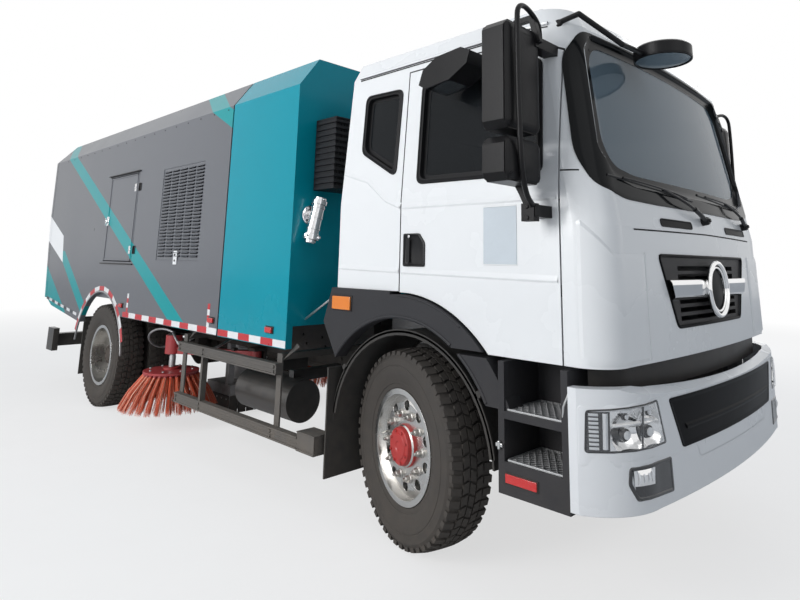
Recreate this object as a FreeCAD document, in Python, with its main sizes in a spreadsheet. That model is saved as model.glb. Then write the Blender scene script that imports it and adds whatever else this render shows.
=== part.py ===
import FreeCAD, Part
import Sketcher
import os
import re

# Street sweeper truck, two axles, forward-control tilt cab, tipping hopper body.
# Row frame in millimetres: +X is forward, +Y is the truck's left, +Z is up.
# The origin is on the ground below the middle of the truck.

doc = FreeCAD.newDocument("street_sweeper")
sheet = doc.addObject("Spreadsheet::Sheet", "sizes")

# alias, value in mm (or degrees), what it is
SIZES = [
    ("axle_front", 2700, "front axle, forward of the origin"),
    ("wheelbase", 4500, "front axle to rear axle"),
    ("tyre_radius", 520, "radius of a loaded tyre, which is also the axle height"),
    ("tyre_width", 280, "section width of a tyre"),
    ("bead_radius", 286, "radius of the bead seat, where the tyre sits on its rim"),
    ("rim_wall", 14, "thickness of the rim's barrel"),
    ("disc_wall", 22, "thickness of the wheel disc"),
    ("lip_rise", 16, "height of the rim's flange above the bead seat"),
    ("front_wheel_y", 980, "middle of the front tyre, from the centre line"),
    ("dual_outer_y", 1090, "middle of the outer rear tyre"),
    ("dual_pitch", 315, "spacing of the two tyres of a pair"),
    ("kingpin_y", 830, "kingpin, from the centre line"),
    ("kingpin_radius", 24, "radius of the kingpin"),
    ("kingpin_reach", 120, "half length of the kingpin"),
    ("fork_reach", 84, "how far a knuckle's fork reaches outside the kingpin"),
    ("beam_eye", 68, "half height of the beam's eye"),
    ("rest_steer", -13.4, "steering angle at which the truck is parked, degrees"),
    ("spindle_radius", 40, "radius of a front spindle"),
    ("rear_spindle", 50, "radius of a rear spindle"),
    ("pin_clearance", 0.05, "radial running clearance of pins and spindles"),
    ("hub_radius", 110, "radius of a wheel hub"),
    ("drum_radius", 205, "radius of a brake drum"),
    ("hole_circle", 212, "radius of the circle of hand holes"),
    ("hole_radius", 27, "radius of a hand hole"),
    ("rail_outer", 430, "outer face of a frame rail"),
    ("rail_flange", 72, "width of a frame rail"),
    ("rail_wall", 10, "plate thickness of a frame rail"),
    ("rail_bottom", 700, "underside of the frame rails"),
    ("rail_top", 960, "top of the frame rails"),
    ("rail_nose", 1190, "front end of the rails, ahead of the front axle"),
    ("rail_tail", -3760, "rear end of the rails"),
    ("cross_depth", 70, "length of a cross member along the truck"),
    ("spring_width", 76, "width of a leaf spring"),
    ("spring_leaf", 16, "thickness of one leaf"),
    ("spring_front_y", 394, "front spring, from the centre line"),
    ("spring_rear_y", 492, "rear spring, from the centre line"),
    ("spring_half", 760, "half length of the longest leaf"),
    ("tilt_x", 1150, "cab tilt pivot, ahead of the front axle"),
    ("tilt_z", 745, "cab tilt pivot, height"),
    ("tilt_radius", 28, "radius of the tilt pivot pins"),
    ("tilt_arm_y", 450, "inner face of a cab tilt arm"),
    ("tilt_arm_wall", 40, "thickness of a cab tilt arm"),
    ("cab_rear", -590, "cab rear wall, from the front axle"),
    ("cab_half", 1170, "half width of the cab at the doors"),
    ("cab_roof_half", 1112, "half width of the cab at the drip rail"),
    ("cab_sill", 1095, "underside of the cab floor in front"),
    ("cab_back_sill", 1370, "underside of the cab behind the doors"),
    ("cab_belt", 1900, "height of the windscreen's lower edge"),
    ("cab_rail", 2745, "height of the windscreen's upper edge"),
    ("roof_rise", 180, "height of the cab's roof above that edge"),
    ("cab_nose", 1305, "front of the cab at the sill, on the centre line"),
    ("cab_belt_x", 1262, "front of the cab at the belt"),
    ("cab_brow_x", 1120, "front of the cab at the top of the windscreen"),
    ("cab_wall", 60, "thickness of the cab's walls and doors"),
    ("cab_arch", 845, "radius of the door's cut over the wheel"),
    ("wheel_opening", 705, "radius of the open wheel arch"),
    ("flare_wall", 90, "depth of the grey wheel flare"),
    ("door_rear", -20, "rear edge of a door, from the front axle"),
    ("door_front", 1035, "front edge of a door"),
    ("door_top", 2690, "top edge of a door"),
    ("door_gap", 8, "gap round a door"),
    ("hinge_back", 30, "door hinge's axis, behind the door's front edge"),
    ("hinge_in", 13, "door hinge's axis, inside the door's outer face"),
    ("hinge_pin", 5, "radius of a door hinge's pin"),
    ("hinge_boss", 7, "radius of the boss round that pin"),
    ("hinge_grip", 20, "how far the pin runs into the door at each end"),
    ("hinge_arm", 40, "height of a door hinge's arm"),
    ("hinge_gap", 5, "gap above and below that arm in the door"),
    ("hinge_plate", 12, "thickness of the arm where it is welded to the cab"),
    ("hinge_low", 1420, "height of a door's lower hinge"),
    ("hinge_high", 1820, "height of a door's upper hinge"),
    ("door_glass_low", 1995, "lower edge of the door glass"),
    ("door_glass_high", 2585, "upper edge of the door glass"),
    ("door_glass_rear", 110, "rear edge of the door glass"),
    ("door_glass_front", 935, "front edge of the door glass"),
    ("glass_wall", 8, "thickness of the glass"),
    ("quarter_rear", -405, "rear edge of the quarter window"),
    ("quarter_front", -95, "front edge of the quarter window"),
    ("quarter_low", 2130, "lower edge of the quarter window"),
    ("quarter_high", 2595, "upper edge of the quarter window"),
    ("screen_half", 1040, "half width of the windscreen at its foot"),
    ("screen_top_half", 985, "half width of the windscreen at its head"),
    ("cab_corner", 190, "how far a front corner of the cab is rounded"),
    ("cab_bow", 42, "how far the cab's front bows forward"),
    ("grille_high", 1592, "top of the cab's front grille"),
    ("grille_low", 1235, "bottom of the cab's front grille"),
    ("grille_high_half", 647, "half width of the grille at its top"),
    ("grille_low_half", 480, "half width of the grille at its bottom"),
    ("seat_gap", 0.3, "gap between a fixed piece and its seat"),
    ("bumper_front", 1390, "front of the bumper on the centre line"),
    ("bumper_low", 525, "lower edge of the bumper"),
    ("bumper_high", 1020, "top of the bumper"),
    ("bumper_half", 1220, "half width of the bumper"),
    ("bumper_wall", 45, "thickness of the bumper's skin"),
    ("intake_high", 925, "top of the bumper's intake"),
    ("intake_low", 675, "bottom of the bumper's intake"),
    ("intake_high_half", 648, "half width of the intake at its top"),
    ("intake_low_half", 473, "half width of the intake at its bottom"),
    ("lamp_inner", 690, "inner edge of a headlamp"),
    ("lamp_outer", 1140, "outer edge of a headlamp"),
    ("lamp_low", 735, "lower edge of a headlamp"),
    ("lamp_high", 925, "upper edge of a headlamp"),
    ("step_rear", 700, "rear of the step box, ahead of the front axle"),
    ("step_front", 1075, "front of the step box"),
    ("step_depth", 330, "depth of the step box, across the truck"),
    ("step_face", 1200, "outer face of the step box"),
    ("step_low", 500, "underside of the step box"),
    ("tread_low", 640, "lower tread"),
    ("tread_high", 860, "upper tread"),
    ("step_wall", 35, "thickness of the step box's walls"),
    ("guard_mud", 620, "radius of the inner mudguard"),
    ("mud_wall", 12, "thickness of mudguards and flaps"),
    ("body_half", 1250, "half width of the hopper and the front housing"),
    ("body_skirt", 950, "lower edge of the body's skirts"),
    ("body_floor", 1100, "underside of the hopper floor"),
    ("body_roof", 3018, "top of the body"),
    ("chamfer_in", 161, "roof chamfer, across"),
    ("chamfer_down", 227, "roof chamfer, down"),
    ("body_wall", 50, "thickness of the body's walls"),
    ("body_gap", 740, "middle of the gap between the hopper and the front housing"),
    ("gap_half", 9, "half of that gap"),
    ("housing_front", 1680, "front face of the housing"),
    ("housing_drop", 5, "how far the housing's floor is below the hopper's"),
    ("hopper_rear_low", -3890, "lower rear corner of the hopper with its tailgate"),
    ("hopper_rear_mid", -4070, "rear of the tailgate at its knee"),
    ("hopper_rear_top", -4100, "rear of the tailgate at its top"),
    ("knee_z", 1930, "height of the tailgate's knee"),
    ("rear_skirt_z", 1010, "lower edge of the tailgate"),
    ("tail_slope", 215, "length of the sloped roof at the rear"),
    ("tailgate_wall", 70, "thickness of the tailgate"),
    ("tailgate_gap", 10, "gap between the hopper and the tailgate"),
    ("gate_hinge_rise", 18, "height of the tailgate's hinge above the roof"),
    ("gate_barrel", 14, "radius of the tailgate's hinge barrels"),
    ("arch_radius", 700, "radius of the rear wheel arch"),
    ("arch_drop", 60, "how far the arch's centre is below the axle"),
    ("arch_back", 50, "how far the arch's centre is behind the axle"),
    ("tip_x", -3650, "tipping hinge of the hopper"),
    ("tip_z", 1020, "height of the tipping hinge"),
    ("tip_radius", 30, "radius of the tipping hinge pins"),
    ("hatch_rear", -1920, "rear edge of the side hatch"),
    ("hatch_front", -1120, "front edge of the side hatch"),
    ("hatch_low", 1490, "lower edge of the side hatch"),
    ("hatch_high", 2400, "upper edge of the side hatch"),
    ("hatch_barrel", 9, "radius of the hatch's hinge barrels"),
    ("louvre_rear", -530, "rear edge of the louvre panel"),
    ("louvre_front", 320, "front edge of the louvre panel"),
    ("louvre_low", 1515, "lower edge of the louvre panel"),
    ("louvre_high", 2370, "upper edge of the louvre panel"),
    ("louvre_rows", 27, "rows of louvre slots"),
    ("louvre_columns", 5, "columns of louvre slots"),
    ("louvre_wall", 32, "thickness of the louvre panel"),
    ("louvre_margin", 22, "plain edge of the louvre panel, and width of the strips between columns"),
    ("brush_x", -650, "side brush, from the origin"),
    ("brush_y", 950, "side brush, from the centre line"),
    ("brush_radius", 450, "radius of the bristles at their tips"),
    ("brush_low", 85, "height of the bristle tips, raised for the road"),
    ("brush_plate", 470, "underside of the brush plate"),
    ("plate_radius", 250, "radius of the brush plate"),
    ("plate_wall", 30, "thickness of the brush plate"),
    ("brush_shaft", 30, "radius of the shaft between brush and motor"),
    ("motor_radius", 75, "radius of a brush motor"),
    ("motor_high", 170, "height of a brush motor"),
    ("tuft_root", 15, "radius of a bristle tuft where it leaves the plate"),
    ("tuft_tip", 26, "radius of a bristle tuft at its tip"),
    ("arm_x", 100, "pivot of the brush arm"),
    ("arm_y", 500, "pivot of the brush arm, from the centre line"),
    ("arm_pin", 26, "radius of the brush arm's pin"),
    ("arm_low", 640, "underside of the brush arm"),
    ("arm_depth", 60, "height of the brush arm"),
    ("arm_half", 40, "half width of the brush arm"),
    ("arm_boss", 45, "radius of the boss round the brush arm's pin"),
    ("arm_gap", 4, "gap between the brush arm and each of its plates"),
    ("arm_plate", 28, "thickness of the plates that hold the brush arm"),
    ("arm_bracket", 60, "half length of those plates, and their reach past the pin"),
    ("ram_x", -2600, "lower pivot of the tipping rams"),
    ("ram_z", 450, "height of the rams' lower pivot"),
    ("ram_eye_x", -3000, "upper eye of the rams"),
    ("ram_eye_z", 1045, "height of the rams' upper eye"),
    ("ram_y", 235, "rams, from the centre line"),
    ("ram_radius", 48, "radius of a ram's barrel"),
    ("rod_radius", 26, "radius of a ram's rod"),
    ("eye_radius", 36, "radius of a ram's eyes"),
    ("eye_width", 100, "width of a ram's eyes"),
    ("lug_wall", 22, "thickness of the lugs beside a ram's eye"),
    ("lug_gap", 8, "gap between a ram's eye and each lug"),
    ("guard_face", 1240, "outer face of the side guards"),
    ("guard_wall", 45, "thickness of the side guards' rails"),
    ("guard_rear", 80, "rear end of the side guards"),
    ("guard_front", 2030, "front end of the lower guard rail"),
    ("guard_post", 1570, "front post of the side guards"),
    ("guard_low", 365, "underside of the lower guard rail"),
    ("guard_high", 770, "underside of the upper guard rail"),
    ("guard_rail", 75, "height of a guard rail"),
    ("guard_bar", 60, "width of the side guards' posts"),
    ("pin_end", 6, "how far a pin stands out of what it carries"),
    ("member_inset", 30, "how far a cross member stays inside the rails' height"),
    ("ram_foot", 35, "distance from the rams' lower pivot to its cross member"),
    ("ram_pin", 14, "radius of the rams' lower pins"),
    ("ram_short", 100, "how much shorter a ram's barrel is than the ram"),
    ("beam_bar", 90, "thickness of the front axle's beam"),
    ("beam_drop", 150, "how far the front axle's beam drops below the wheels' centre"),
    ("fork_half", 48, "half length of a knuckle's fork"),
    ("steer_arm", 330, "length of a steering arm"),
    ("casing_radius", 65, "radius of the rear axle's casing"),
    ("casing_half", 900, "half length of the rear axle's casing"),
    ("diff_radius", 205, "radius of the rear axle's differential"),
    ("pinion_radius", 80, "radius of the pinion's nose"),
    ("pinion_reach", 330, "how far the pinion's nose reaches forward"),
    ("shaft_radius", 45, "radius of the drive shaft"),
    ("shaft_rise", 60, "height of the drive shaft above the axles"),
    ("leaf_step", 110, "how much shorter each leaf is than the one above"),
    ("engine_rear", -950, "rear of the engine, from the front axle"),
    ("engine_front", 250, "front of the engine"),
    ("engine_half", 340, "half width of the engine"),
    ("engine_low", 550, "underside of the engine"),
    ("engine_high", 1285, "top of the engine"),
    ("engine_foot", 90, "length of an engine mount"),
    ("radiator_rear", 640, "rear of the radiator, from the front axle"),
    ("radiator_wall", 65, "thickness of the radiator"),
    ("radiator_low", 600, "underside of the radiator"),
    ("radiator_high", 1060, "top of the radiator"),
    ("tank_rear", -2200, "rear of the fuel tank, from the front axle"),
    ("tank_front", -1150, "front of the fuel tank"),
    ("tank_near", 500, "inner face of the fuel tank"),
    ("tank_far", 1150, "outer face of the fuel tank"),
    ("tank_low", 340, "underside of the fuel tank"),
    ("tank_high", 820, "top of the fuel tank"),
    ("strap_wall", 8, "thickness of the tank's straps"),
    ("strap_width", 70, "width of the tank's straps"),
    ("reservoir_rear", -2050, "rear of the air reservoir, from the front axle"),
    ("reservoir_length", 720, "length of the air reservoir"),
    ("reservoir_radius", 150, "radius of the air reservoir"),
    ("reservoir_y", 860, "air reservoir, from the centre line"),
    ("reservoir_arm", 60, "width of the reservoir's brackets"),
    ("fog_radius", 52, "radius of a fog lamp"),
    ("fog_y", 860, "fog lamp, from the centre line"),
    ("fog_z", 630, "height of a fog lamp"),
    ("mud_near", 650, "inner edge of the front mudguards"),
    ("mud_far", 1140, "outer edge of the front mudguards"),
    ("flap_gap", 10, "gap between the mud flaps and the inside of the body's walls"),
    ("mud_lean", 35, "slope of the mudguard stays from the axle, in degrees"),
    ("flap_low", 235, "lower edge of the mud flaps"),
    ("flap_high", 880, "top of the mud flaps"),
    ("flap_back", 690, "rear mud flap, behind the rear axle"),
    ("flap_stay", 50, "height of the mud flaps' stays"),
    ("tail_beam_half", 1130, "half length of the rear bumper's beam"),
    ("tail_beam_low", 420, "underside of the rear bumper's beam"),
    ("tail_beam_high", 570, "top of the rear bumper's beam"),
    ("tail_beam_wall", 120, "thickness of the rear bumper's beam"),
    ("tail_cap", 65, "length of the rear bumper's end caps"),
    ("tail_lamp_near", 700, "inner edge of a tail lamp"),
    ("tail_lamp_far", 1080, "outer edge of a tail lamp"),
    ("tail_lamp_wall", 30, "thickness of a tail lamp"),
    ("valve_in", 140, "filler valve, in from the body's side"),
    ("valve_out", 85, "filler valve, ahead of the housing's front"),
    ("valve_z", 1850, "height of the filler valve's stem"),
    ("valve_lean", 13, "lean of the filler valve's barrel, degrees"),
    ("valve_radius", 45, "radius of the filler valve's barrel"),
    ("valve_below", 170, "length of its barrel below the stem"),
    ("valve_above", 120, "length of its barrel above the stem"),
    ("valve_rim", 55, "radius of the coupling at its lower end"),
    ("intake_in", 150, "air intake's outer face, in from the body's side"),
    ("intake_width", 280, "width of the air intake"),
    ("intake_depth", 250, "depth of the air intake, along the truck"),
    ("intake_foot", 2030, "underside of the air intake"),
    ("intake_top", 2545, "top of the air intake"),
    ("intake_ribs", 12, "ribs round the air intake"),
    ("nozzle_rear", 300, "rear of the suction nozzle, behind the brushes' line"),
    ("nozzle_ahead", 170, "front of the suction nozzle, ahead of that line"),
    ("nozzle_half", 420, "half width of the suction nozzle"),
    ("nozzle_low", 70, "underside of the suction nozzle, raised for the road"),
    ("nozzle_high", 300, "top of the suction nozzle"),
    ("nozzle_wall", 30, "thickness of the suction nozzle's walls"),
    ("duct_back", 70, "suction duct, behind the brushes' line"),
    ("duct_y", -190, "suction duct, from the centre line"),
    ("duct_radius", 120, "radius of the suction duct"),
    ("duct_wall", 8, "thickness of the suction duct"),
    ("back_pane_half", 450, "half width of the cab's rear window"),
    ("back_pane_low", 2050, "lower edge of the cab's rear window"),
    ("back_pane_high", 2480, "upper edge of the cab's rear window"),
    ("toe_x", 620, "rear of the cab's lower front floor"),
    ("flare_face", 1190, "outer face of the wheel flares"),
    ("seat_front", 420, "front of the seats, from the front axle"),
    ("seat_squab", -120, "front of the seats' backs"),
    ("seat_back", -250, "rear of the seats' backs"),
    ("seat_rise", 320, "height of the seats above the floor"),
    ("back_rise", 900, "height of the seats' backs above the floor"),
    ("head_rise", 190, "height of a headrest"),
    ("head_half", 130, "half width of a headrest"),
    ("dash_rear", 870, "rear of the dashboard, from the front axle"),
    ("dash_front", 1165, "front of the dashboard"),
    ("dash_low", 1480, "underside of the dashboard"),
    ("dash_high", 1885, "top of the dashboard"),
    ("dash_half", 980, "half width of the dashboard"),
    ("helm_x", 640, "middle of the steering wheel, from the front axle"),
    ("helm_y", 620, "middle of the steering wheel, from the centre line"),
    ("helm_z", 1985, "height of the steering wheel"),
    ("helm_radius", 225, "radius of the steering wheel"),
    ("helm_grip", 15, "radius of the steering wheel's rim"),
    ("helm_rake", 35, "rake of the steering wheel, degrees"),
    ("column_radius", 24, "radius of the steering column"),
    ("column_length", 440, "length of the steering column"),
    ("mirror_near", 1255, "inner edge of the door mirrors"),
    ("mirror_far", 1540, "outer edge of the door mirrors"),
    ("mirror_rear", 875, "rear of the door mirrors, from the front axle"),
    ("mirror_wall", 120, "depth of the door mirrors"),
    ("mirror_cut", 35, "how far a mirror's corners are cut off"),
    ("mirror_arm_y", 1290, "mirror arm, from the centre line"),
    ("mirror_arm", 28, "thickness of the mirror arm"),
    ("dish_x", 1300, "middle of the front mirror, from the front axle"),
    ("dish_y", -500, "middle of the front mirror, from the centre line"),
    ("dish_z", 2635, "underside of the front mirror"),
    ("dish_radius", 150, "radius of the front mirror"),
    ("dish_wall", 55, "depth of the front mirror"),
    ("dish_arm", 14, "radius of the front mirror's arm"),
]
VALUES = {alias: value for alias, value, meaning in SIZES}
for row, (alias, value, meaning) in enumerate(SIZES, 1):
    sheet.set(f"A{row}", meaning)
    sheet.set(f"B{row}", str(value))
    sheet.setAlias(f"B{row}", alias)
doc.recompute()

REAR = "(axle_front - wheelbase)"
WORD = re.compile(r"[a-z][a-z_]*")
PLANES = {"XY": "XY_Plane", "XZ": "XZ_Plane", "YZ": "YZ_Plane"}
TURNS = {"x": (FreeCAD.Vector(0, 1, 0), 90), "y": (FreeCAD.Vector(1, 0, 0), -90),
         "z": (FreeCAD.Vector(0, 0, 1), 0)}
nodes = []


def formula(text):
    """The expression with every size's name pointing at its cell."""
    return WORD.sub(lambda word: "sizes." + word.group() if word.group() in VALUES else word.group(),
                    str(text))


def number(text):
    """The present value of an expression."""
    return float(sheet.evalExpression(formula(text)))


def ahead(text):
    """An x measured from the front axle."""
    return f"axle_front + ({text})"


def span(sign, near, far):
    """The two y limits of something that lies between near and far on one side."""
    return (near, far) if sign > 0 else (f"-({far})", f"-({near})")


def place(item, x="0", y="0", z="0"):
    for axis, text in (("x", x), ("y", y), ("z", z)):
        item.setExpression(f"Placement.Base.{axis}", formula(text))
    return item


def box(name, x, y, z):
    """A box between two expressions along each axis."""
    item = doc.addObject("Part::Box", name)
    for side, (low, high) in (("Length", x), ("Width", y), ("Height", z)):
        item.setExpression(side, formula(f"({high}) - ({low})"))
    return place(item, x[0], y[0], z[0])


def rod(name, axis, x, y, z, radius, length):
    """A cylinder that starts at x, y, z and runs along an axis."""
    item = doc.addObject("Part::Cylinder", name)
    item.Placement.Rotation = FreeCAD.Rotation(*TURNS[axis])
    item.setExpression("Radius", formula(radius))
    item.setExpression("Height", formula(length))
    return place(item, x, y, z)


def strut(name, start, end, radius):
    """A round bar between two points."""
    first, last = (FreeCAD.Vector(*[number(text) for text in point]) for point in (start, end))
    item = doc.addObject("Part::Cylinder", name)
    item.setExpression("Radius", formula(radius))
    steps = [f"(({far}) - ({near}))^2" for near, far in zip(start, end)]
    item.setExpression("Height", formula("sqrt(" + " + ".join(steps) + ")"))
    item.Placement.Rotation = FreeCAD.Rotation(FreeCAD.Vector(0, 0, 1), last - first)
    return place(item, *start)


def join(name, parts):
    item = doc.addObject("Part::MultiFuse", name)
    item.Shapes = parts
    return item


def cut(name, base, tools):
    item = doc.addObject("Part::Cut", name)
    item.Base = base
    item.Tool = tools[0] if len(tools) == 1 else join(name + "_tools", tools)
    return item


def common(name, base, tool):
    item = doc.addObject("Part::Common", name)
    item.Base = base
    item.Tool = tool
    return item


def outline(body, plane, corners):
    """A closed sketch of straight lines, each corner bound to the sizes."""
    sketch = body.newObject("Sketcher::SketchObject", body.Name + "_outline")
    support = [item for item in body.Origin.OriginFeatures if item.Role == PLANES[plane]]
    sketch.AttachmentSupport = [(support[0], "")]
    sketch.MapMode = "FlatFace"
    spots = [FreeCAD.Vector(number(across), number(up), 0) for across, up in corners]
    for corner, spot in enumerate(spots):
        sketch.addGeometry(Part.LineSegment(spot, spots[(corner + 1) % len(spots)]), False)
    for corner, texts in enumerate(corners):
        following = (corner + 1) % len(spots)
        sketch.addConstraint(Sketcher.Constraint("Coincident", corner, 2, following, 1))
        for kind, text in zip(("DistanceX", "DistanceY"), texts):
            index = sketch.addConstraint(Sketcher.Constraint(kind, -1, 1, corner, 1, number(text)))
            sketch.setExpression(f"Constraints[{index}]", formula(text))
    return sketch


def prism(name, plane, corners, width, x="0", y="0", z="0"):
    """A flat plate: an outline padded to both sides of its plane."""
    body = doc.addObject("PartDesign::Body", name)
    pad = body.newObject("PartDesign::Pad", name + "_pad")
    pad.Profile = outline(body, plane, corners)
    pad.Midplane = True
    pad.setExpression("Length", formula(width))
    body.Tip = pad
    return place(body, x, y, z)


def turned(name, corners):
    """A body of revolution about Y; each corner is (along the axis, radius)."""
    body = doc.addObject("PartDesign::Body", name)
    turn = body.newObject("PartDesign::Revolution", name + "_turn")
    sketch = outline(body, "YZ", corners)
    turn.Profile = sketch
    turn.ReferenceAxis = (sketch, ["H_Axis"])
    turn.Angle = 360
    body.Tip = turn
    return body


def copy(name, item, x="0", y="0", z="0", turn=0):
    """The same shape again, at another place; turn is about Z."""
    link = doc.addObject("Part::Compound", name)
    link.Links = [item]
    link.Placement.Rotation = FreeCAD.Rotation(FreeCAD.Vector(0, 0, 1), turn)
    return place(link, x, y, z)


def node(name, item):
    """Names a finished sub-part, which becomes a file of its own."""
    item.Label = name
    nodes.append(item)
    return item


def pair(name, make):
    """Left and right copies of a piece as one sub-part."""
    return node(name, join(name, [make(name + "_left", 1), make(name + "_right", -1)]))


# ---- Chassis: rails, cross members, subframe --------------------------------

def frame_rail(name, sign):
    """A C-section rail with the pin that carries the cab in its nose."""
    x = ("rail_tail", ahead("rail_nose"))
    web = box(name + "_web", x, span(sign, "rail_outer - rail_wall", "rail_outer"),
              ("rail_bottom", "rail_top"))
    inner = span(sign, "rail_outer - rail_flange", "rail_outer")
    low = box(name + "_low", x, inner, ("rail_bottom", "rail_bottom + rail_wall"))
    top = box(name + "_top", x, inner, ("rail_top - rail_wall", "rail_top"))
    pin_out = "tilt_arm_y + tilt_arm_wall + pin_end"
    start = "rail_outer - rail_wall" if sign > 0 else f"-({pin_out})"
    pin = rod(name + "_pin", "y", ahead("tilt_x"), start, "tilt_z", "tilt_radius",
              f"{pin_out} - rail_outer + rail_wall")
    # Plates and pin that carry the side brush's arm.
    x = ("arm_x - arm_bracket", "arm_x + arm_bracket")
    low_plate = ("arm_low - arm_gap - arm_plate", "arm_low - arm_gap")
    top_plate = ("arm_low + arm_depth + arm_gap", "arm_low + arm_depth + arm_gap + arm_plate")
    plates = [box(f"{name}_plate_{count}", x, span(sign, "rail_outer", "arm_y + arm_bracket"), z)
              for count, z in enumerate((low_plate, top_plate))]
    back = box(name + "_back", x, span(sign, "rail_outer", "rail_outer + 2 * rail_wall"),
               (low_plate[0], top_plate[1]))
    arm_pin = rod(name + "_arm_pin", "z", "arm_x", f"{sign} * arm_y", low_plate[0], "arm_pin",
                  "arm_depth + 2 * (arm_gap + arm_plate)")
    return join(name, [web, low, top, pin, back, arm_pin] + plates)


pair("frame_rails", frame_rail)

# x of each cross member, from the origin
CROSS_MEMBERS = ["rail_tail + 60", "ram_x + ram_foot", f"{REAR} + 420", "-500", "600", ahead("-1030"),
                 ahead("900")]
members = []
for place_number, x in enumerate(CROSS_MEMBERS):
    members.append(box(f"member_{place_number}", (x, f"{x} + cross_depth"),
                       ("-(rail_outer - rail_wall)", "rail_outer - rail_wall"),
                       ("rail_bottom + member_inset", "rail_top - member_inset")))
for side, sign in (("left", 1), ("right", -1)):
    for name, near, far in (("in", "-(eye_width / 2 + lug_gap + lug_wall)", "-(eye_width / 2 + lug_gap)"),
                            ("out", "eye_width / 2 + lug_gap", "eye_width / 2 + lug_gap + lug_wall")):
        middle = f"{sign} * ram_y"
        members.append(box(f"ram_lug_{side}_{name}",
                           ("ram_x - eye_radius", "ram_x + ram_foot + cross_depth"),
                           (f"{middle} + {near}", f"{middle} + {far}"),
                           ("ram_z - eye_radius", "rail_top - member_inset")))
    members.append(rod(f"ram_pin_{side}", "y", "ram_x",
                       f"{sign} * ram_y - eye_width / 2 - lug_gap - lug_wall",
                       "ram_z", "ram_pin", "eye_width + 2 * lug_gap + 2 * lug_wall"))
node("cross_members", join("cross_members", members))


def subframe_side(name, sign):
    """Box rail on top of the frame, cut back behind the hopper's tipping pin."""
    middle = f"{sign} * (rail_outer - rail_flange / 2)"
    back = "tip_x - 2.5 * tip_radius"
    deck = "body_floor - housing_drop"
    front = "housing_front - 40"
    rail = prism(name + "_rail", "XZ",
                 [(back, "rail_top"), (front, "rail_top"), (front, deck), ("tip_x", deck),
                  (back, "tip_z + 20")], "rail_flange", y=middle)
    start = "rail_outer - rail_wall" if sign > 0 else "-(rail_outer + 90)"
    pin = rod(name + "_pin", "y", "tip_x", start, "tip_z", "tip_radius", "90 + rail_wall")
    return join(name, [rail, pin])


pair("subframe", subframe_side)

# ---- Front axle, steering knuckles ------------------------------------------
beam_low = "tyre_radius - beam_drop"
beam = prism("axle_beam_bar", "YZ", [
    ("-kingpin_y + 20", "tyre_radius - 40"), ("-kingpin_y + 20", "tyre_radius + 40"),
    ("-560", "tyre_radius - 60"), ("560", "tyre_radius - 60"), ("kingpin_y - 20", "tyre_radius + 40"),
    ("kingpin_y - 20", "tyre_radius - 40"), ("500", beam_low), ("-500", beam_low)], "beam_bar",
             x="axle_front")
eyes = []
bores = []
for side, sign in (("left", 1), ("right", -1)):
    y = f"{sign} * kingpin_y"
    eyes.append(rod(f"beam_eye_{side}", "z", "axle_front", y, "tyre_radius - beam_eye",
                    "kingpin_radius + 26",
                    "2 * beam_eye"))
    bores.append(rod(f"beam_bore_{side}", "z", "axle_front", y, "tyre_radius - beam_eye - 5",
                     "kingpin_radius + pin_clearance", "2 * beam_eye + 10"))
node("front_axle_beam", cut("front_axle_beam", join("beam_solid", [beam] + eyes), bores))

for side, sign in (("left", 1), ("right", -1)):
    # Built about the kingpin, then turned to the parked steering angle.
    pin = rod(f"kingpin_{side}", "z", "0", "0", "-kingpin_reach", "kingpin_radius", "2 * kingpin_reach")
    x = ("-fork_half", "fork_half")
    lugs = [box(f"fork_{side}_{count}", x, span(sign, "-fork_half", "fork_reach"), z)
            for count, z in enumerate((("beam_eye + 2", "kingpin_reach"),
                                       ("-kingpin_reach", "-(beam_eye + 2)")))]
    web = box(f"fork_web_{side}", x, span(sign, "fork_reach - 30", "fork_reach"),
              ("-kingpin_reach", "kingpin_reach"))
    start = "60" if sign > 0 else "-(front_wheel_y - kingpin_y + 90)"
    spindle = rod(f"spindle_{side}", "y", "0", start, "0", "spindle_radius",
                  "front_wheel_y - kingpin_y + 30")
    arm = box(f"steer_arm_{side}", ("-steer_arm", "-fork_half + 8"), span(sign, "-fork_half", "-18"),
              ("-100", "-72"))
    knuckle = join(f"knuckle_{side}", [pin, web, spindle, arm] + lugs)
    knuckle.Placement.Rotation = FreeCAD.Rotation(FreeCAD.Vector(0, 0, 1), VALUES["rest_steer"])
    place(knuckle, "axle_front", f"{sign} * kingpin_y", "tyre_radius")
    node(f"knuckle_{side}", knuckle)

# ---- Wheels -----------------------------------------------------------------
# Tyre section: (along the axle, radius), as shares of the width where the shape needs it.
TYRE_SECTION = [
    ("-0.39 * tyre_width", "bead_radius"), ("-0.39 * tyre_width", "bead_radius + lip_rise + 3"),
    ("-0.42 * tyre_width", "bead_radius + lip_rise + 20"),
    ("-0.5 * tyre_width", "bead_radius + 110"), ("-0.46 * tyre_width", "tyre_radius - 42"),
    ("-0.40 * tyre_width", "tyre_radius - 8"), ("-0.30 * tyre_width", "tyre_radius"),
]


def tyre(name):
    mirrored = [(text.replace("-0", "0"), radius) for text, radius in reversed(TYRE_SECTION)]
    return turned(name, TYRE_SECTION + mirrored)


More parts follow.
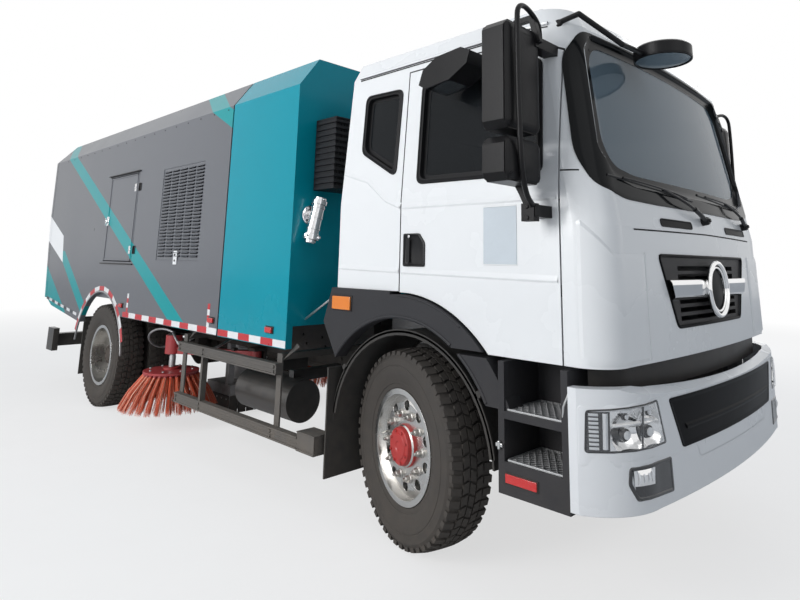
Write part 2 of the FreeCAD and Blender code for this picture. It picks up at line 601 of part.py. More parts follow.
def rim(name, out, disc, hub_start, hub_end, spindle, cap):
    """An alloy rim: barrel with two flanges, pierced disc, hub. out is +1 or -1 along Y."""
    seat = "0.39 * tyre_width"
    skin = "bead_radius - rim_wall"

    def along(text):
        return f"{out} * ({text})"

    flange = [(along(f"-({seat}) - 10"), skin), (along(f"-({seat}) - 10"), "bead_radius + lip_rise"),
              (along(f"-({seat}) - 0.3"), "bead_radius + lip_rise"),
              (along(f"-({seat}) - 0.3"), "bead_radius - 0.3"),
              (along(f"{seat} + 0.3"), "bead_radius - 0.3"),
              (along(f"{seat} + 0.3"), "bead_radius + lip_rise"),
              (along(f"{seat} + 10"), "bead_radius + lip_rise"), (along(f"{seat} + 10"), skin)]
    barrel = turned(name + "_barrel", flange)
    plate = turned(name + "_disc",
                   [(along(disc), "hub_radius - 20"), (along(f"{disc} + disc_wall"), "hub_radius - 20"),
                    (along(f"{disc} + disc_wall"), "bead_radius - 60"),
                    (along(f"{disc} + disc_wall - 25"), "bead_radius - 8"),
                    (along(f"{disc} - 25"), "bead_radius - 8"), (along(disc), "bead_radius - 60")])
    hub = turned(name + "_hub",
                 [(along(hub_start), f"{spindle} + pin_clearance"), (along(hub_start), "hub_radius"),
                  (along(f"{hub_end} - 30"), "hub_radius"), (along(hub_end), "hub_radius - 30"),
                  (along(hub_end), "0"), (along(f"{hub_end} - 14"), "0"),
                  (along(f"{hub_end} - 14"), "40"), (along(cap), f"{spindle} + pin_clearance")])
    holes = []
    for turn in range(10):
        hole = rod(f"{name}_hole_{turn}", "y", "0", "0", "0", "hole_radius", "400")
        hole.setExpression("Placement.Base.x", formula(f"hole_circle * sin({36 * turn} * 1 deg)"))
        hole.setExpression("Placement.Base.z", formula(f"hole_circle * cos({36 * turn} * 1 deg)"))
        hole.setExpression("Placement.Base.y", formula(f"{out} * ({disc}) - 200"))
        holes.append(hole)
    return barrel, cut(name + "_pierced", plate, holes), hub


for side, sign in (("left", 1), ("right", -1)):
    reach = "front_wheel_y - kingpin_y"
    barrel, plate, hub = rim(f"rim_f_{side}", sign, "62", "-60", "132", "spindle_radius", "98")
    drum = turned(f"drum_f_{side}", [
        (f"{sign} * -60", "hub_radius - 2"), (f"{sign} * -60", "drum_radius"),
        (f"{sign} * 50", "drum_radius"),
        (f"{sign} * 50", "drum_radius - 16"), (f"{sign} * -44", "drum_radius - 16"),
        (f"{sign} * -44", "hub_radius - 2")])
    wheel = join(f"rim_front_{side}_solid", [barrel, plate, hub, drum])
    for name, piece in ((f"tyre_front_{side}", tyre(f"tyre_f_{side}")), (f"rim_front_{side}", wheel)):
        moved = copy(name + "_seated", piece, "0", f"{sign} * ({reach})", "0")
        turned_piece = copy(name, moved, "axle_front", f"{sign} * kingpin_y", "tyre_radius",
                            VALUES["rest_steer"])
        node(name, turned_piece)

for side, sign in (("left", 1), ("right", -1)):
    inner_y = f"{sign} * (dual_outer_y - dual_pitch)"
    outer_y = f"{sign} * dual_outer_y"
    tyres = [copy(f"tyre_r_{side}_{word}_at", tyre(f"tyre_r_{side}_{word}"), REAR, y, "tyre_radius")
             for word, y in (("outer", outer_y), ("inner", inner_y))]
    barrel, plate, hub = rim(f"rim_r_{side}", sign, "-110", "-160", "40", "rear_spindle", "6")
    rims = [copy(f"rim_r_{side}_{word}", item, REAR, outer_y, "tyre_radius")
            for word, item in (("barrel_at", barrel), ("disc_at", plate), ("hub_at", hub))]
    inner_barrel = turned(f"rim_r_{side}_inner", [
        (f"{sign} * (-0.39 * tyre_width - 10)", "bead_radius - rim_wall"),
        (f"{sign} * (-0.39 * tyre_width - 10)", "bead_radius + lip_rise"),
        (f"{sign} * (-0.39 * tyre_width - 0.3)", "bead_radius + lip_rise"),
        (f"{sign} * (-0.39 * tyre_width - 0.3)", "bead_radius - 0.3"),
        (f"{sign} * (0.39 * tyre_width + 0.3)", "bead_radius - 0.3"),
        (f"{sign} * (0.39 * tyre_width + 0.3)", "bead_radius + lip_rise"),
        (f"{sign} * (0.39 * tyre_width + 10)", "bead_radius + lip_rise"),
        (f"{sign} * (dual_pitch - 100)", "bead_radius - rim_wall - 20"),
        (f"{sign} * (dual_pitch - 134)", "hub_radius - 10"),
        (f"{sign} * (dual_pitch - 156)", "hub_radius - 10"),
        (f"{sign} * (dual_pitch - 156)", "bead_radius - rim_wall - 40"),
        (f"{sign} * (0.39 * tyre_width)", "bead_radius - rim_wall - 16")])
    rims.append(copy(f"rim_r_{side}_inner_at", inner_barrel, REAR, inner_y, "tyre_radius"))
    node(f"tyres_rear_{side}", join(f"tyres_rear_{side}", tyres))
    node(f"rims_rear_{side}", join(f"rims_rear_{side}", rims))

# ---- Axles, springs and driveline -------------------------------------------
casing = turned("axle_casing",
                [("-casing_half", "0"), ("-casing_half", "casing_radius"), ("-230", "casing_radius"),
                 ("-120", "diff_radius"), ("120", "diff_radius"), ("230", "casing_radius"),
                 ("casing_half", "casing_radius"), ("casing_half", "0")])
spindles = rod("rear_spindles", "y", REAR, "-dual_outer_y", "tyre_radius", "rear_spindle",
               "2 * dual_outer_y")
pinion = rod("pinion_nose", "x", REAR, "0", "tyre_radius + shaft_rise", "pinion_radius", "pinion_reach")
node("rear_axle", join("rear_axle", [place(casing, REAR, "0", "tyre_radius"), spindles, pinion]))
node("drive_shaft",
     rod("drive_shaft", "x", f"{REAR} + pinion_reach", "0", "tyre_radius + shaft_rise", "shaft_radius",
         "wheelbase - pinion_reach + engine_rear"))


def leaf_spring(name, sign, x, y, seat, hanger_low, hanger_high, hanger_y):
    """Five leaves on the axle, hung from the frame at both ends."""
    middle = f"{sign} * ({y})"
    parts = []
    for leaf in range(5):
        half = f"spring_half - {4 - leaf} * leaf_step"
        parts.append(box(f"{name}_leaf_{leaf}", (f"{x} - ({half})", f"{x} + {half}"),
                         (f"{middle} - spring_width / 2", f"{middle} + spring_width / 2"),
                         (f"{seat} + {leaf} * spring_leaf", f"{seat} + {leaf + 1} * spring_leaf")))
    for end, shift in (("rear", "-(spring_half)"), ("front", "spring_half")):
        parts.append(box(f"{name}_{end}", (f"{x} + {shift} - 40", f"{x} + {shift} + 40"),
                         span(sign, *hanger_y), (hanger_low, hanger_high)))
    parts.append(box(f"{name}_clamp", (f"{x} - 70", f"{x} + 70"),
                     (f"{middle} - spring_width / 2 - 12", f"{middle} + spring_width / 2 + 12"),
                     (seat, f"{seat} + 5 * spring_leaf + 14")))
    return join(name, parts)


springs = []
for side, sign in (("left", 1), ("right", -1)):
    springs.append(leaf_spring(f"spring_front_{side}", sign, "axle_front", "spring_front_y",
                               "tyre_radius - 60",
                               "tyre_radius - 60 + 4 * spring_leaf", "rail_bottom",
                               ("spring_front_y - spring_width / 2", "spring_front_y + spring_width / 2")))
    springs.append(leaf_spring(f"spring_rear_{side}", sign, REAR, "spring_rear_y",
                               "tyre_radius + casing_radius",
                               "tyre_radius + casing_radius + 4 * spring_leaf", "rail_bottom + 120",
                               ("rail_outer", "spring_rear_y + spring_width / 2")))
node("leaf_springs", join("leaf_springs", springs))

block = box("engine_mass", (ahead("engine_rear"), ahead("engine_front")), ("-engine_half", "engine_half"),
            ("engine_low", "engine_high"))
between = ("-(rail_outer - rail_wall)", "rail_outer - rail_wall")
feet = [box(f"engine_feet_{count}", (ahead(x), ahead(f"{x} + engine_foot")), between,
            ("rail_bottom + 40", "rail_top - 40"))
        for count, x in enumerate(("engine_rear + 150", "engine_front - 190"))]
node("engine_block", join("engine_block", [block] + feet))
node("radiator", box("radiator", (ahead("radiator_rear"), ahead("radiator_rear + radiator_wall")),
                     ("-(rail_outer - rail_flange)", "rail_outer - rail_flange"),
                     ("radiator_low", "radiator_high")))

tank = box("tank_shell", (ahead("tank_rear"), ahead("tank_front")), ("tank_near", "tank_far"),
           ("tank_low", "tank_high"))
straps = [box(f"tank_strap_{count}", (ahead(x), ahead(f"{x} + strap_width")),
              ("rail_outer", "tank_far + strap_wall"),
              ("tank_low - strap_wall", "tank_high + strap_wall"))
          for count, x in enumerate(("tank_rear + 180", "tank_front - 250"))]
node("fuel_tank", join("fuel_tank", [tank] + straps))
reservoir = rod("reservoir", "x", ahead("reservoir_rear"), "-reservoir_y", "tyre_radius", "reservoir_radius",
                "reservoir_length")
arms = [box(f"reservoir_arm_{count}", (ahead(x), ahead(f"{x} + reservoir_arm")),
            ("-reservoir_y - 20", "-rail_outer"),
            ("rail_bottom - reservoir_arm", "rail_bottom + 20"))
        for count, x in enumerate(("reservoir_rear + 100", "reservoir_rear + 550"))]
node("air_tank", join("air_tank", [reservoir] + arms))

# ---- Bumper, lamps, steps and guards ----------------------------------------
# Plan of the bumper's outer face: (distance back from its front, share of its half width)
BUMPER_PLAN = [(0, 0), (58, 0.74), (150, 0.93), (265, 1.0)]


def bumper_solid(name, inset, low, high):
    """The bumper's plan in arcs, drawn in by an inset and raised from low to high."""
    inset, low, high = number(inset), number(low), number(high)
    half = VALUES["bumper_half"] - inset
    front = number(ahead("bumper_front")) - inset
    tip, shoulder, corner, side = [FreeCAD.Vector(front - back, half * share, low)
                                   for back, share in BUMPER_PLAN]
    back = FreeCAD.Vector(number(ahead("step_front + 10")) - inset, half, low)

    def other(point):
        return FreeCAD.Vector(point.x, -point.y, point.z)

    wire = Part.Wire([Part.LineSegment(back, side).toShape(), Part.Arc(side, corner, shoulder).toShape(),
                      Part.Arc(shoulder, tip, other(shoulder)).toShape(),
                      Part.Arc(other(shoulder), other(corner), other(side)).toShape(),
                      Part.LineSegment(other(side), other(back)).toShape(),
                      Part.LineSegment(other(back), back).toShape()])
    item = doc.addObject("Part::Feature", name)
    item.Shape = Part.Face(wire).extrude(FreeCAD.Vector(0, 0, high - low))
    return item


shell = cut("bumper_skin", bumper_solid("bumper_outer", "0", "bumper_low", "bumper_high"),
            [bumper_solid("bumper_inner", "bumper_wall", "bumper_low - 10", "bumper_high + 10")])
intake = prism("intake_hole", "YZ", [("-intake_low_half", "intake_low"), ("intake_low_half", "intake_low"),
                                     ("intake_high_half", "intake_high"),
                                     ("-intake_high_half", "intake_high")],
               "400", x=ahead("bumper_front - 60"))
ledge = prism("bumper_ledge", "XZ", [(ahead("bumper_front - 130"), "bumper_high + 1"),
                                     (ahead("bumper_front + 20"), "bumper_high + 1"),
                                     (ahead("bumper_front + 20"), "bumper_high - 70")], "3000")
openings = [intake, ledge]
for side, sign in (("left", 1), ("right", -1)):
    openings.append(box(f"lamp_hole_{side}", (ahead("1000"), ahead("1500")),
                        span(sign, "lamp_inner", "lamp_outer"),
                        ("lamp_low", "lamp_high")))
    openings.append(rod(f"fog_hole_{side}", "x", ahead("1100"), f"{sign} * fog_y", "fog_z", "fog_radius",
                        "400"))
skin = cut("bumper_open", shell, openings)
stays = []
for side, sign in (("left", 1), ("right", -1)):
    y = span(sign, "rail_outer - rail_flange", "rail_outer")
    stays.append(box(f"bumper_stay_{side}", (ahead("1060"), ahead("bumper_front - 40")), y,
                     ("rail_bottom - 90", "intake_low - 15")))
    stays.append(box(f"bumper_foot_{side}", (ahead("1060"), ahead("rail_nose")), y,
                     ("rail_bottom - 90", "rail_bottom")))
node("front_bumper", join("front_bumper", [skin] + stays))

plate = prism("intake_plate", "YZ", [("-intake_low_half + seat_gap", "intake_low + seat_gap"),
                                     ("intake_low_half - seat_gap", "intake_low + seat_gap"),
                                     ("intake_high_half - seat_gap", "intake_high - seat_gap"),
                                     ("-intake_high_half + seat_gap", "intake_high - seat_gap")],
              "20", x=ahead("bumper_front - 48"))
slots = [box(f"intake_slot_{count}", (ahead("1300"), ahead("1400")), ("-450", "450"),
             (f"intake_low + {25 + 48 * count}", f"intake_low + {55 + 48 * count}")) for count in range(5)]
node("bumper_grille", cut("bumper_grille", plate, slots))


def front_lamp(name, sign):
    """Headlamp behind the bumper's outline, with the fog lamp below it."""
    y = span(sign, "lamp_inner + seat_gap", "lamp_outer - seat_gap")
    body = common(name + "_lens",
                  bumper_solid(name + "_outer", "8", "lamp_low + seat_gap", "lamp_high - seat_gap"),
                  box(name + "_box", (ahead("1000"), ahead("1500")), y, ("lamp_low", "lamp_high")))
    lens = cut(name + "_body", body,
               [bumper_solid(name + "_inner", "110", "lamp_low - 10", "lamp_high + 10")])
    fog = rod(name + "_fog", "x", ahead("bumper_front - 140"), f"{sign} * fog_y", "fog_z",
              "fog_radius - seat_gap", "75")
    return join(name, [lens, fog])


pair("front_lamps", front_lamp)


def step_box(name, sign):
    """Steps below a door, with the front of the wheel flare."""
    x = (ahead("step_rear"), ahead("step_front"))
    near = "step_face - step_depth"
    y = span(sign, near, "step_face")
    parts = [box(name + "_back", x, span(sign, near, f"{near} + step_wall"), ("step_low", "cab_sill - 15")),
             box(name + "_rear", (x[0], ahead("step_rear + step_wall")), y, ("step_low", "cab_sill - 15")),
             box(name + "_front", (ahead("step_front - step_wall"), x[1]), y,
                 ("step_low", "cab_sill - 15")),
             box(name + "_skirt", x, span(sign, "step_face - step_wall", "step_face"),
                 ("step_low", "tread_low")),
             box(name + "_low", x, y, ("tread_low - step_wall", "tread_low")),
             box(name + "_high", x, y, ("tread_high - step_wall", "tread_high")),
             box(name + "_stay", (ahead("step_rear + 20"), ahead("step_rear + 100")),
                 span(sign, "rail_outer", f"{near} + 10"),
                 ("rail_top - 80", "rail_top"))]
    ring = common(name + "_ring", rod(name + "_ring_out", "y", "axle_front", "-2000", "tyre_radius",
                                      "cab_arch - 10", "4000"),
                  box(name + "_ring_box", (ahead("300"), ahead("step_rear + 60")),
                      span(sign, "1080", "1190"),
                      ("tyre_radius + 340", "cab_sill - 15")))
    flare = cut(name + "_flare", ring,
                [rod(name + "_hole", "y", "axle_front", "-2000", "tyre_radius", "wheel_opening",
                     "4000")])
    return join(name, parts + [flare])


pair("cab_steps", step_box)


FLAP_FAR = "(body_half - body_wall - flap_gap)"


def mudguard(name, sign):
    """Inner mudguard with its flap and two stays from the frame."""
    y = span(sign, "mud_near", "mud_far")
    depth = "mud_far - mud_near"
    ring = cut(name + "_ring",
               rod(name + "_out", "y", "axle_front", y[0], "tyre_radius", "guard_mud + mud_wall", depth),
               [rod(name + "_in", "y", "axle_front", y[0], "tyre_radius", "guard_mud", depth),
                box(name + "_under", (ahead("-1000"), ahead("1000")), y, ("-200", "tyre_radius + 40"))])
    flap = box(name + "_flap", (ahead("-(guard_mud + mud_wall)"), ahead("-guard_mud")),
               span(sign, "mud_near", FLAP_FAR),
               ("flap_low", "flap_high"))
    reach = "(guard_mud + mud_wall + 14)"
    stays = [rod(f"{name}_{end}", "y", ahead(f"{toward} * {reach} * cos(mud_lean * 1 deg)"),
                 span(sign, "rail_outer", "mud_far")[0],
                 f"tyre_radius + {reach} * sin(mud_lean * 1 deg)", "18", "mud_far - rail_outer")
             for end, toward in (("rear", -1), ("front", 1))]
    return join(name, [ring, flap] + stays)


def rear_flap(name, sign):
    back = f"{REAR} - flap_back"
    panel = box(name + "_panel", (back, f"{back} + mud_wall"), span(sign, "mud_near - 10", FLAP_FAR),
                ("flap_low", "flap_high - 20"))
    stay = box(name + "_stay", (f"{back} + mud_wall", f"{back} + mud_wall + 40"),
               span(sign, "rail_outer", FLAP_FAR),
               ("flap_high - 80", "flap_high - 80 + flap_stay"))
    return join(name, [panel, stay])


node("mudguards", join("mudguards", [mudguard("mudguard_left", 1), mudguard("mudguard_right", -1),
                                     rear_flap("flap_left", 1), rear_flap("flap_right", -1)]))


def side_guard(name, sign):
    """Two rails on two posts between the wheels, hung from the frame."""
    face = span(sign, "guard_face - guard_wall", "guard_face")
    parts = [box(name + "_low", ("guard_rear", "guard_front"), face,
                 ("guard_low", "guard_low + guard_rail")),
             box(name + "_high", ("guard_rear", "guard_post"), face,
                 ("guard_high", "guard_high + guard_rail")),
             box(name + "_end", ("guard_front - 180", "guard_front"),
                 span(sign, "guard_face - 130", "guard_face"),
                 ("guard_low", "guard_low + guard_rail + 30"))]
    for count, x in enumerate(("guard_rear", "guard_post - guard_bar")):
        parts.append(box(f"{name}_post_{count}", (x, f"{x} + guard_bar"),
                         span(sign, "guard_face - guard_wall - 12", "guard_face - guard_wall"),
                         ("guard_low", "guard_high + guard_rail + 20")))
        parts.append(box(f"{name}_arm_{count}", (x, f"{x} + guard_bar"),
                         span(sign, "rail_outer", "guard_face - guard_wall"),
                         ("guard_high + guard_rail + 20", "guard_high + guard_rail + 60")))
    parts.append(box(name + "_bar", ("guard_rear + 420", "guard_rear + 450"), face,
                     ("guard_low + guard_rail", "guard_high")))
    return join(name, parts)


pair("side_guards", side_guard)

beam = box("rear_beam", ("rail_tail + 70", "rail_tail + 70 + tail_beam_wall"),
           ("-tail_beam_half", "tail_beam_half"),
           ("tail_beam_low", "tail_beam_high"))
pieces = [beam]
for side, sign in (("left", 1), ("right", -1)):
    pieces.append(box(f"rear_cap_{side}", ("rail_tail", "rail_tail + 230"),
                      span(sign, "tail_beam_half", "tail_beam_half + tail_cap"),
                      ("tail_beam_low - 50", "tail_beam_high + 70")))
    pieces.append(box(f"rear_post_{side}", ("rail_tail + 90", "rail_tail + 170"),
                      span(sign, "rail_outer - rail_flange", "rail_outer"),
                      ("tail_beam_high", "rail_bottom")))
node("rear_bumper", join("rear_bumper", pieces))
pair("tail_lamps", lambda name, sign: box(name, ("rail_tail + 70 - tail_lamp_wall", "rail_tail + 70"),
                                          span(sign, "tail_lamp_near", "tail_lamp_far"),
                                          ("tail_beam_low + 20", "tail_beam_high - 20")))

# ---- Front housing and hopper -----------------------------------------------

def body_section(name, inset, low, start, end):
    """The body's cross-section, with its roof edges cut off, from start to end along the truck."""
    half = f"(body_half - ({inset}))"
    corners = [(f"-{half}", low), (half, low), (half, "body_roof - chamfer_down"),
               (f"body_half - chamfer_in - ({inset})", f"body_roof - ({inset})"),
               (f"-(body_half - chamfer_in - ({inset}))", f"body_roof - ({inset})"),
               (f"-{half}", "body_roof - chamfer_down")]
    return prism(name, "YZ", corners, f"({end}) - ({start})", x=f"(({end}) + ({start})) / 2")


deck_x = ("body_gap + gap_half", "housing_front")
housing_floor = "body_floor - housing_drop"
outer = body_section("housing_outer", "0", "body_skirt", *deck_x)
room = body_section("housing_room", "body_wall", f"{housing_floor} + body_wall", f"{deck_x[0]} + body_wall",
                    f"{deck_x[1]} - body_wall")
under = box("housing_under", ("0", "3000"), ("-(body_half - body_wall)", "body_half - body_wall"),
            ("0", housing_floor))
node("front_housing", cut("front_housing", outer, [room, under]))
node("sweeper_engine", box("sweeper_engine", ("body_gap + 150", "housing_front - 150"), ("-600", "600"),
                           (f"{housing_floor} + body_wall", "2050")))
valve_y = "-(body_half - valve_in)"
valve_x = "housing_front + valve_out"
stem = rod("valve_stem", "x", "housing_front", valve_y, "valve_z", "valve_radius - 5",
           "valve_out + valve_radius / 2")
flange = rod("valve_flange", "x", "housing_front", valve_y, "valve_z", "valve_radius + 25", "18")
barrel = join("valve_barrel", [rod("valve_mouth", "z", "0", "0", "-valve_below", "valve_radius",
                                   "valve_below + valve_above"),
                               rod("valve_coupling", "z", "0", "0", "-valve_below - 10", "valve_rim", "40"),
                               rod("valve_bonnet", "z", "0", "0", "valve_above - 50", "valve_rim", "30"),
                               rod("valve_handle", "x", "-valve_rim", "0", "valve_above - 10", "6",
                                   "2 * valve_rim")])
barrel.Placement.Rotation = FreeCAD.Rotation(FreeCAD.Vector(1, 0, 0), -VALUES["valve_lean"])
node("filler_valve", join("filler_valve", [stem, flange, place(barrel, valve_x, valve_y, "valve_z")]))

# Ribbed air intake that stands on the housing's front, behind the cab.
near = "body_half - intake_in - intake_width"
far = "body_half - intake_in"
core = box("intake_core", ("housing_front + seat_gap", "housing_front + intake_depth - 20"),
           span(-1, f"{near} + 12", f"{far} - 12"), ("intake_foot", "intake_top"))
pitch = "((intake_top - intake_foot) / intake_ribs)"
ribs = [box(f"intake_rib_{count}", ("housing_front + 20", "housing_front + intake_depth"),
            span(-1, near, far),
            (f"intake_foot + {count} * {pitch}", f"intake_foot + ({count} + 0.45) * {pitch}"))
        for count in range(VALUES["intake_ribs"])]
node("air_intake", join("air_intake", [core] + ribs))

# Rear outline of the body from the bottom up: (x, z)
TAIL = [("hopper_rear_low", "rear_skirt_z"), ("hopper_rear_mid", "knee_z"),
        ("hopper_rear_top", "body_roof - chamfer_down"), ("hopper_rear_top + tail_slope", "body_roof")]


def tail_line(shift):
    return [(f"{x} + {shift}", z) for x, z in TAIL]


side_view = prism("hopper_side", "XZ", [
    ("body_gap - gap_half", "body_skirt"), ("body_gap - gap_half", "body_roof")]
                  + tail_line("tailgate_wall + tailgate_gap")[::-1]
                  + [(f"{REAR} - 1780", "body_skirt - 25"), (f"{REAR} - 600", "body_skirt - 150"),
                     (f"{REAR} + 400", "body_skirt")],
                  "3000")
outer = common("hopper_outer", body_section("hopper_section", "0", "700", "-4300", "1000"), side_view)
room = body_section("hopper_room", "body_wall", "body_floor + body_wall", "-4400",
                    "body_gap - gap_half - body_wall")
under = box("hopper_under", ("-4400", "1000"), ("-(body_half - body_wall)", "body_half - body_wall"),
            ("0", "body_floor"))
arch = rod("rear_arch", "y", f"{REAR} - arch_back", "-2000", "tyre_radius - arch_drop", "arch_radius",
           "4000")
arch_skirts = cut("arch_skirts", arch, [box("arch_limit", (f"{REAR} - 1000", f"{REAR} + 1000"),
                                            ("-(body_half - body_wall)", "body_half - body_wall"),
                                            ("-500", "2000"))])
windows = []
for side, sign in (("left", 1), ("right", -1)):
    wall = span(sign, "body_half - body_wall - 5", "body_half + 5")
    windows.append(box(f"hatch_hole_{side}", ("hatch_rear", "hatch_front"), wall,
                       ("hatch_low", "hatch_high")))
    windows.append(box(f"louvre_hole_{side}", ("louvre_rear", "louvre_front"), wall,
                       ("louvre_low", "louvre_high")))
tub = cut("hopper_tub", outer, [room, under, arch_skirts] + windows)
lugs = []
for side, sign in (("left", 1), ("right", -1)):
    lugs.append(box(f"tip_lug_{side}", ("tip_x - 70", "tip_x + 70"),
                    span(sign, "rail_outer + 24", "rail_outer + 80"),
                    ("tip_z - 55", "body_floor")))
    middle = f"{sign} * ram_y"
    for name, near, far in (("in", "-(eye_width / 2 + lug_gap + lug_wall)", "-(eye_width / 2 + lug_gap)"),
                            ("out", "eye_width / 2 + lug_gap", "eye_width / 2 + lug_gap + lug_wall")):
        lugs.append(box(f"eye_lug_{side}_{name}", ("ram_eye_x - 60", "ram_eye_x + 60"),
                        (f"{middle} + {near}", f"{middle} + {far}"), ("ram_eye_z - 40", "body_floor")))
GATE_X = "(hopper_rear_top + tail_slope + tailgate_wall + 3)"
GATE_Z = "(body_roof + gate_hinge_rise)"
# Middle of each tailgate hinge, across the truck
GATE_HINGES = [-750, 0, 750]
EAR_HALF = 110
LEAF_HALF = 50


def gate_ear(name, low, high, back, front):
    """A length of hinge barrel with the foot that holds it."""
    return [rod(name + "_barrel", "y", GATE_X, low, GATE_Z, "gate_barrel", f"({high}) - ({low})"),
            box(name + "_foot", (f"{GATE_X} + ({back})", f"{GATE_X} + ({front})"), (low, high),
                ("body_roof - 12", f"{GATE_Z} - gate_barrel / 2"))]


for middle in GATE_HINGES:
    for word, low, high in (("a", middle - EAR_HALF, f"{middle - LEAF_HALF} - seat_gap"),
                            ("b", f"{middle + LEAF_HALF} + seat_gap", middle + EAR_HALF)):
        lugs += gate_ear(f"hopper_ear_{middle + 1000}_{word}", low, high, "12", "70")
bore = rod("tip_bore", "y", "tip_x", "-700", "tip_z", "tip_radius + pin_clearance", "1400")
node("hopper_shell", cut("hopper_shell", join("hopper_solid", [tub] + lugs), [bore]))


def louvre_panel(name, sign):
    """A plate with rows of slots, and upright strips that part them into columns."""
    y = span(sign, "body_half - louvre_wall - 4", "body_half - 4")
    z = ("louvre_low + seat_gap", "louvre_high - seat_gap")
    plate = box(name + "_plate", ("louvre_rear + seat_gap", "louvre_front - seat_gap"), y, z)
    pitch = "((louvre_high - louvre_low - 2 * louvre_margin) / louvre_rows)"
    bay = "((louvre_front - louvre_rear - louvre_margin) / louvre_columns)"
    slots = []
    for row_number in range(VALUES["louvre_rows"]):
        low = f"louvre_low + louvre_margin + ({row_number} + 0.25) * {pitch}"
        slots.append(box(f"{name}_slot_{row_number}",
                         ("louvre_rear + louvre_margin", "louvre_front - louvre_margin"),
                         span(sign, "body_half - body_wall - 10", "body_half + 10"),
                         (low, f"{low} + {pitch} / 2")))
    strips = []
    for column in range(1, VALUES["louvre_columns"]):
        left = f"louvre_rear + {column} * {bay}"
        strips.append(box(f"{name}_strip_{column}", (left, f"{left} + louvre_margin"), y, z))
    return join(name, [cut(name + "_slotted", plate, slots)] + strips)


pair("louvre_panels", louvre_panel)

for side, sign in (("left", 1), ("right", -1)):
    leaf = box(f"hatch_leaf_{side}", ("hatch_rear + door_gap", "hatch_front - door_gap"),
               span(sign, "body_half - body_wall", "body_half"),
               ("hatch_low + door_gap", "hatch_high - door_gap"))
    barrels = [rod(f"hatch_barrel_{side}_{count}", "z", "hatch_front - hatch_barrel - seat_gap",
                   f"{sign} * (body_half - 4)", z, "hatch_barrel", "110")
               for count, z in enumerate(("hatch_low + 130", "hatch_high - 240"))]
    node(f"hatch_{side}", join(f"hatch_{side}", [leaf] + barrels))

band = prism("tailgate_band", "XZ", tail_line("0") + tail_line("tailgate_wall")[::-1], "3000")
panel = common("tailgate_panel", body_section("tailgate_section", "0", "700", "-4300", "-3000"), band)
ears = []
for middle in GATE_HINGES:
    ears += gate_ear(f"gate_ear_{middle + 1000}", middle - LEAF_HALF, middle + LEAF_HALF, "-70", "-6")
node("tailgate", join("tailgate", [panel] + ears))


def ram(name, sign, parts):
    """Pieces drawn up a ram's own axis from its lower pivot, then leaned back to the upper eye."""
    item = parts[0] if len(parts) == 1 else join(name, parts)
    item.Placement.Rotation = FreeCAD.Rotation(FreeCAD.Vector(0, 1, 0), -30)
    item.setExpression("Placement.Rotation.Angle", formula("-atan2(ram_x - ram_eye_x; ram_eye_z - ram_z)"))
    return place(item, "ram_x", f"{sign} * ram_y", "ram_z")


RAM_LENGTH = "sqrt((ram_x - ram_eye_x)^2 + (ram_eye_z - ram_z)^2)"


def ram_barrel(name, sign):
    eye = rod(name + "_eye", "y", "0", "-eye_width / 2", "0", "eye_radius", "eye_width")
    hole = rod(name + "_hole", "y", "0", "-eye_width / 2 - 5", "0", "ram_pin + pin_clearance",
               "eye_width + 10")
    tube = rod(name + "_tube", "z", "0", "0", "20", "ram_radius", f"{RAM_LENGTH} - ram_short")
    inside = rod(name + "_inside", "z", "0", "0", "60", "rod_radius + pin_clearance", RAM_LENGTH)
    return ram(name, sign, [cut(name + "_body", join(name + "_solid", [eye, tube]), [inside, hole])])


def ram_rod(name, sign):
    stem = rod(name + "_stem", "z", "0", "0", "70", "rod_radius", f"{RAM_LENGTH} - 70")
    eye = rod(name + "_eye", "y", "0", "-eye_width / 2", RAM_LENGTH, "eye_radius", "eye_width")
    return ram(name, sign, [stem, eye])


pair("ram_barrels", ram_barrel)
pair("ram_rods", ram_rod)

# ---- Suction nozzle and side brushes ----------------------------------------
duct_x = "brush_x - duct_back"
hood = cut("nozzle_hood", box("nozzle_outer", ("brush_x - nozzle_rear", "brush_x + nozzle_ahead"),
                              ("-nozzle_half", "nozzle_half"), ("nozzle_low", "nozzle_high")),
           [box("nozzle_inner",
                ("brush_x - nozzle_rear + nozzle_wall", "brush_x + nozzle_ahead - nozzle_wall"),
                ("-nozzle_half + nozzle_wall", "nozzle_half - nozzle_wall"),
                ("0", "nozzle_high - nozzle_wall")),
            rod("nozzle_throat", "z", duct_x, "duct_y", "200", "duct_radius - duct_wall", "200")])
duct = cut("nozzle_duct", rod("duct_out", "z", duct_x, "duct_y", "nozzle_high", "duct_radius",
                              "body_floor - housing_drop - nozzle_high - 1"),
           [rod("duct_in", "z", duct_x, "duct_y", "200", "duct_radius - duct_wall", "body_floor")])
hangers = [box(f"nozzle_hanger_{side}", ("brush_x + 60", "brush_x + 120"),
               span(sign, "rail_outer - rail_flange", "nozzle_half"), ("nozzle_high", "rail_bottom"))
           for side, sign in (("left", 1), ("right", -1))]
node("suction_nozzle", join("suction_nozzle", [hood, duct] + hangers))

# Rows of bristle tufts: (how many, radius at the plate, radius at the tips), both as a share of the plate's
TUFT_ROWS = [(30, 0.90, 0.95), (24, 0.64, 0.68)]


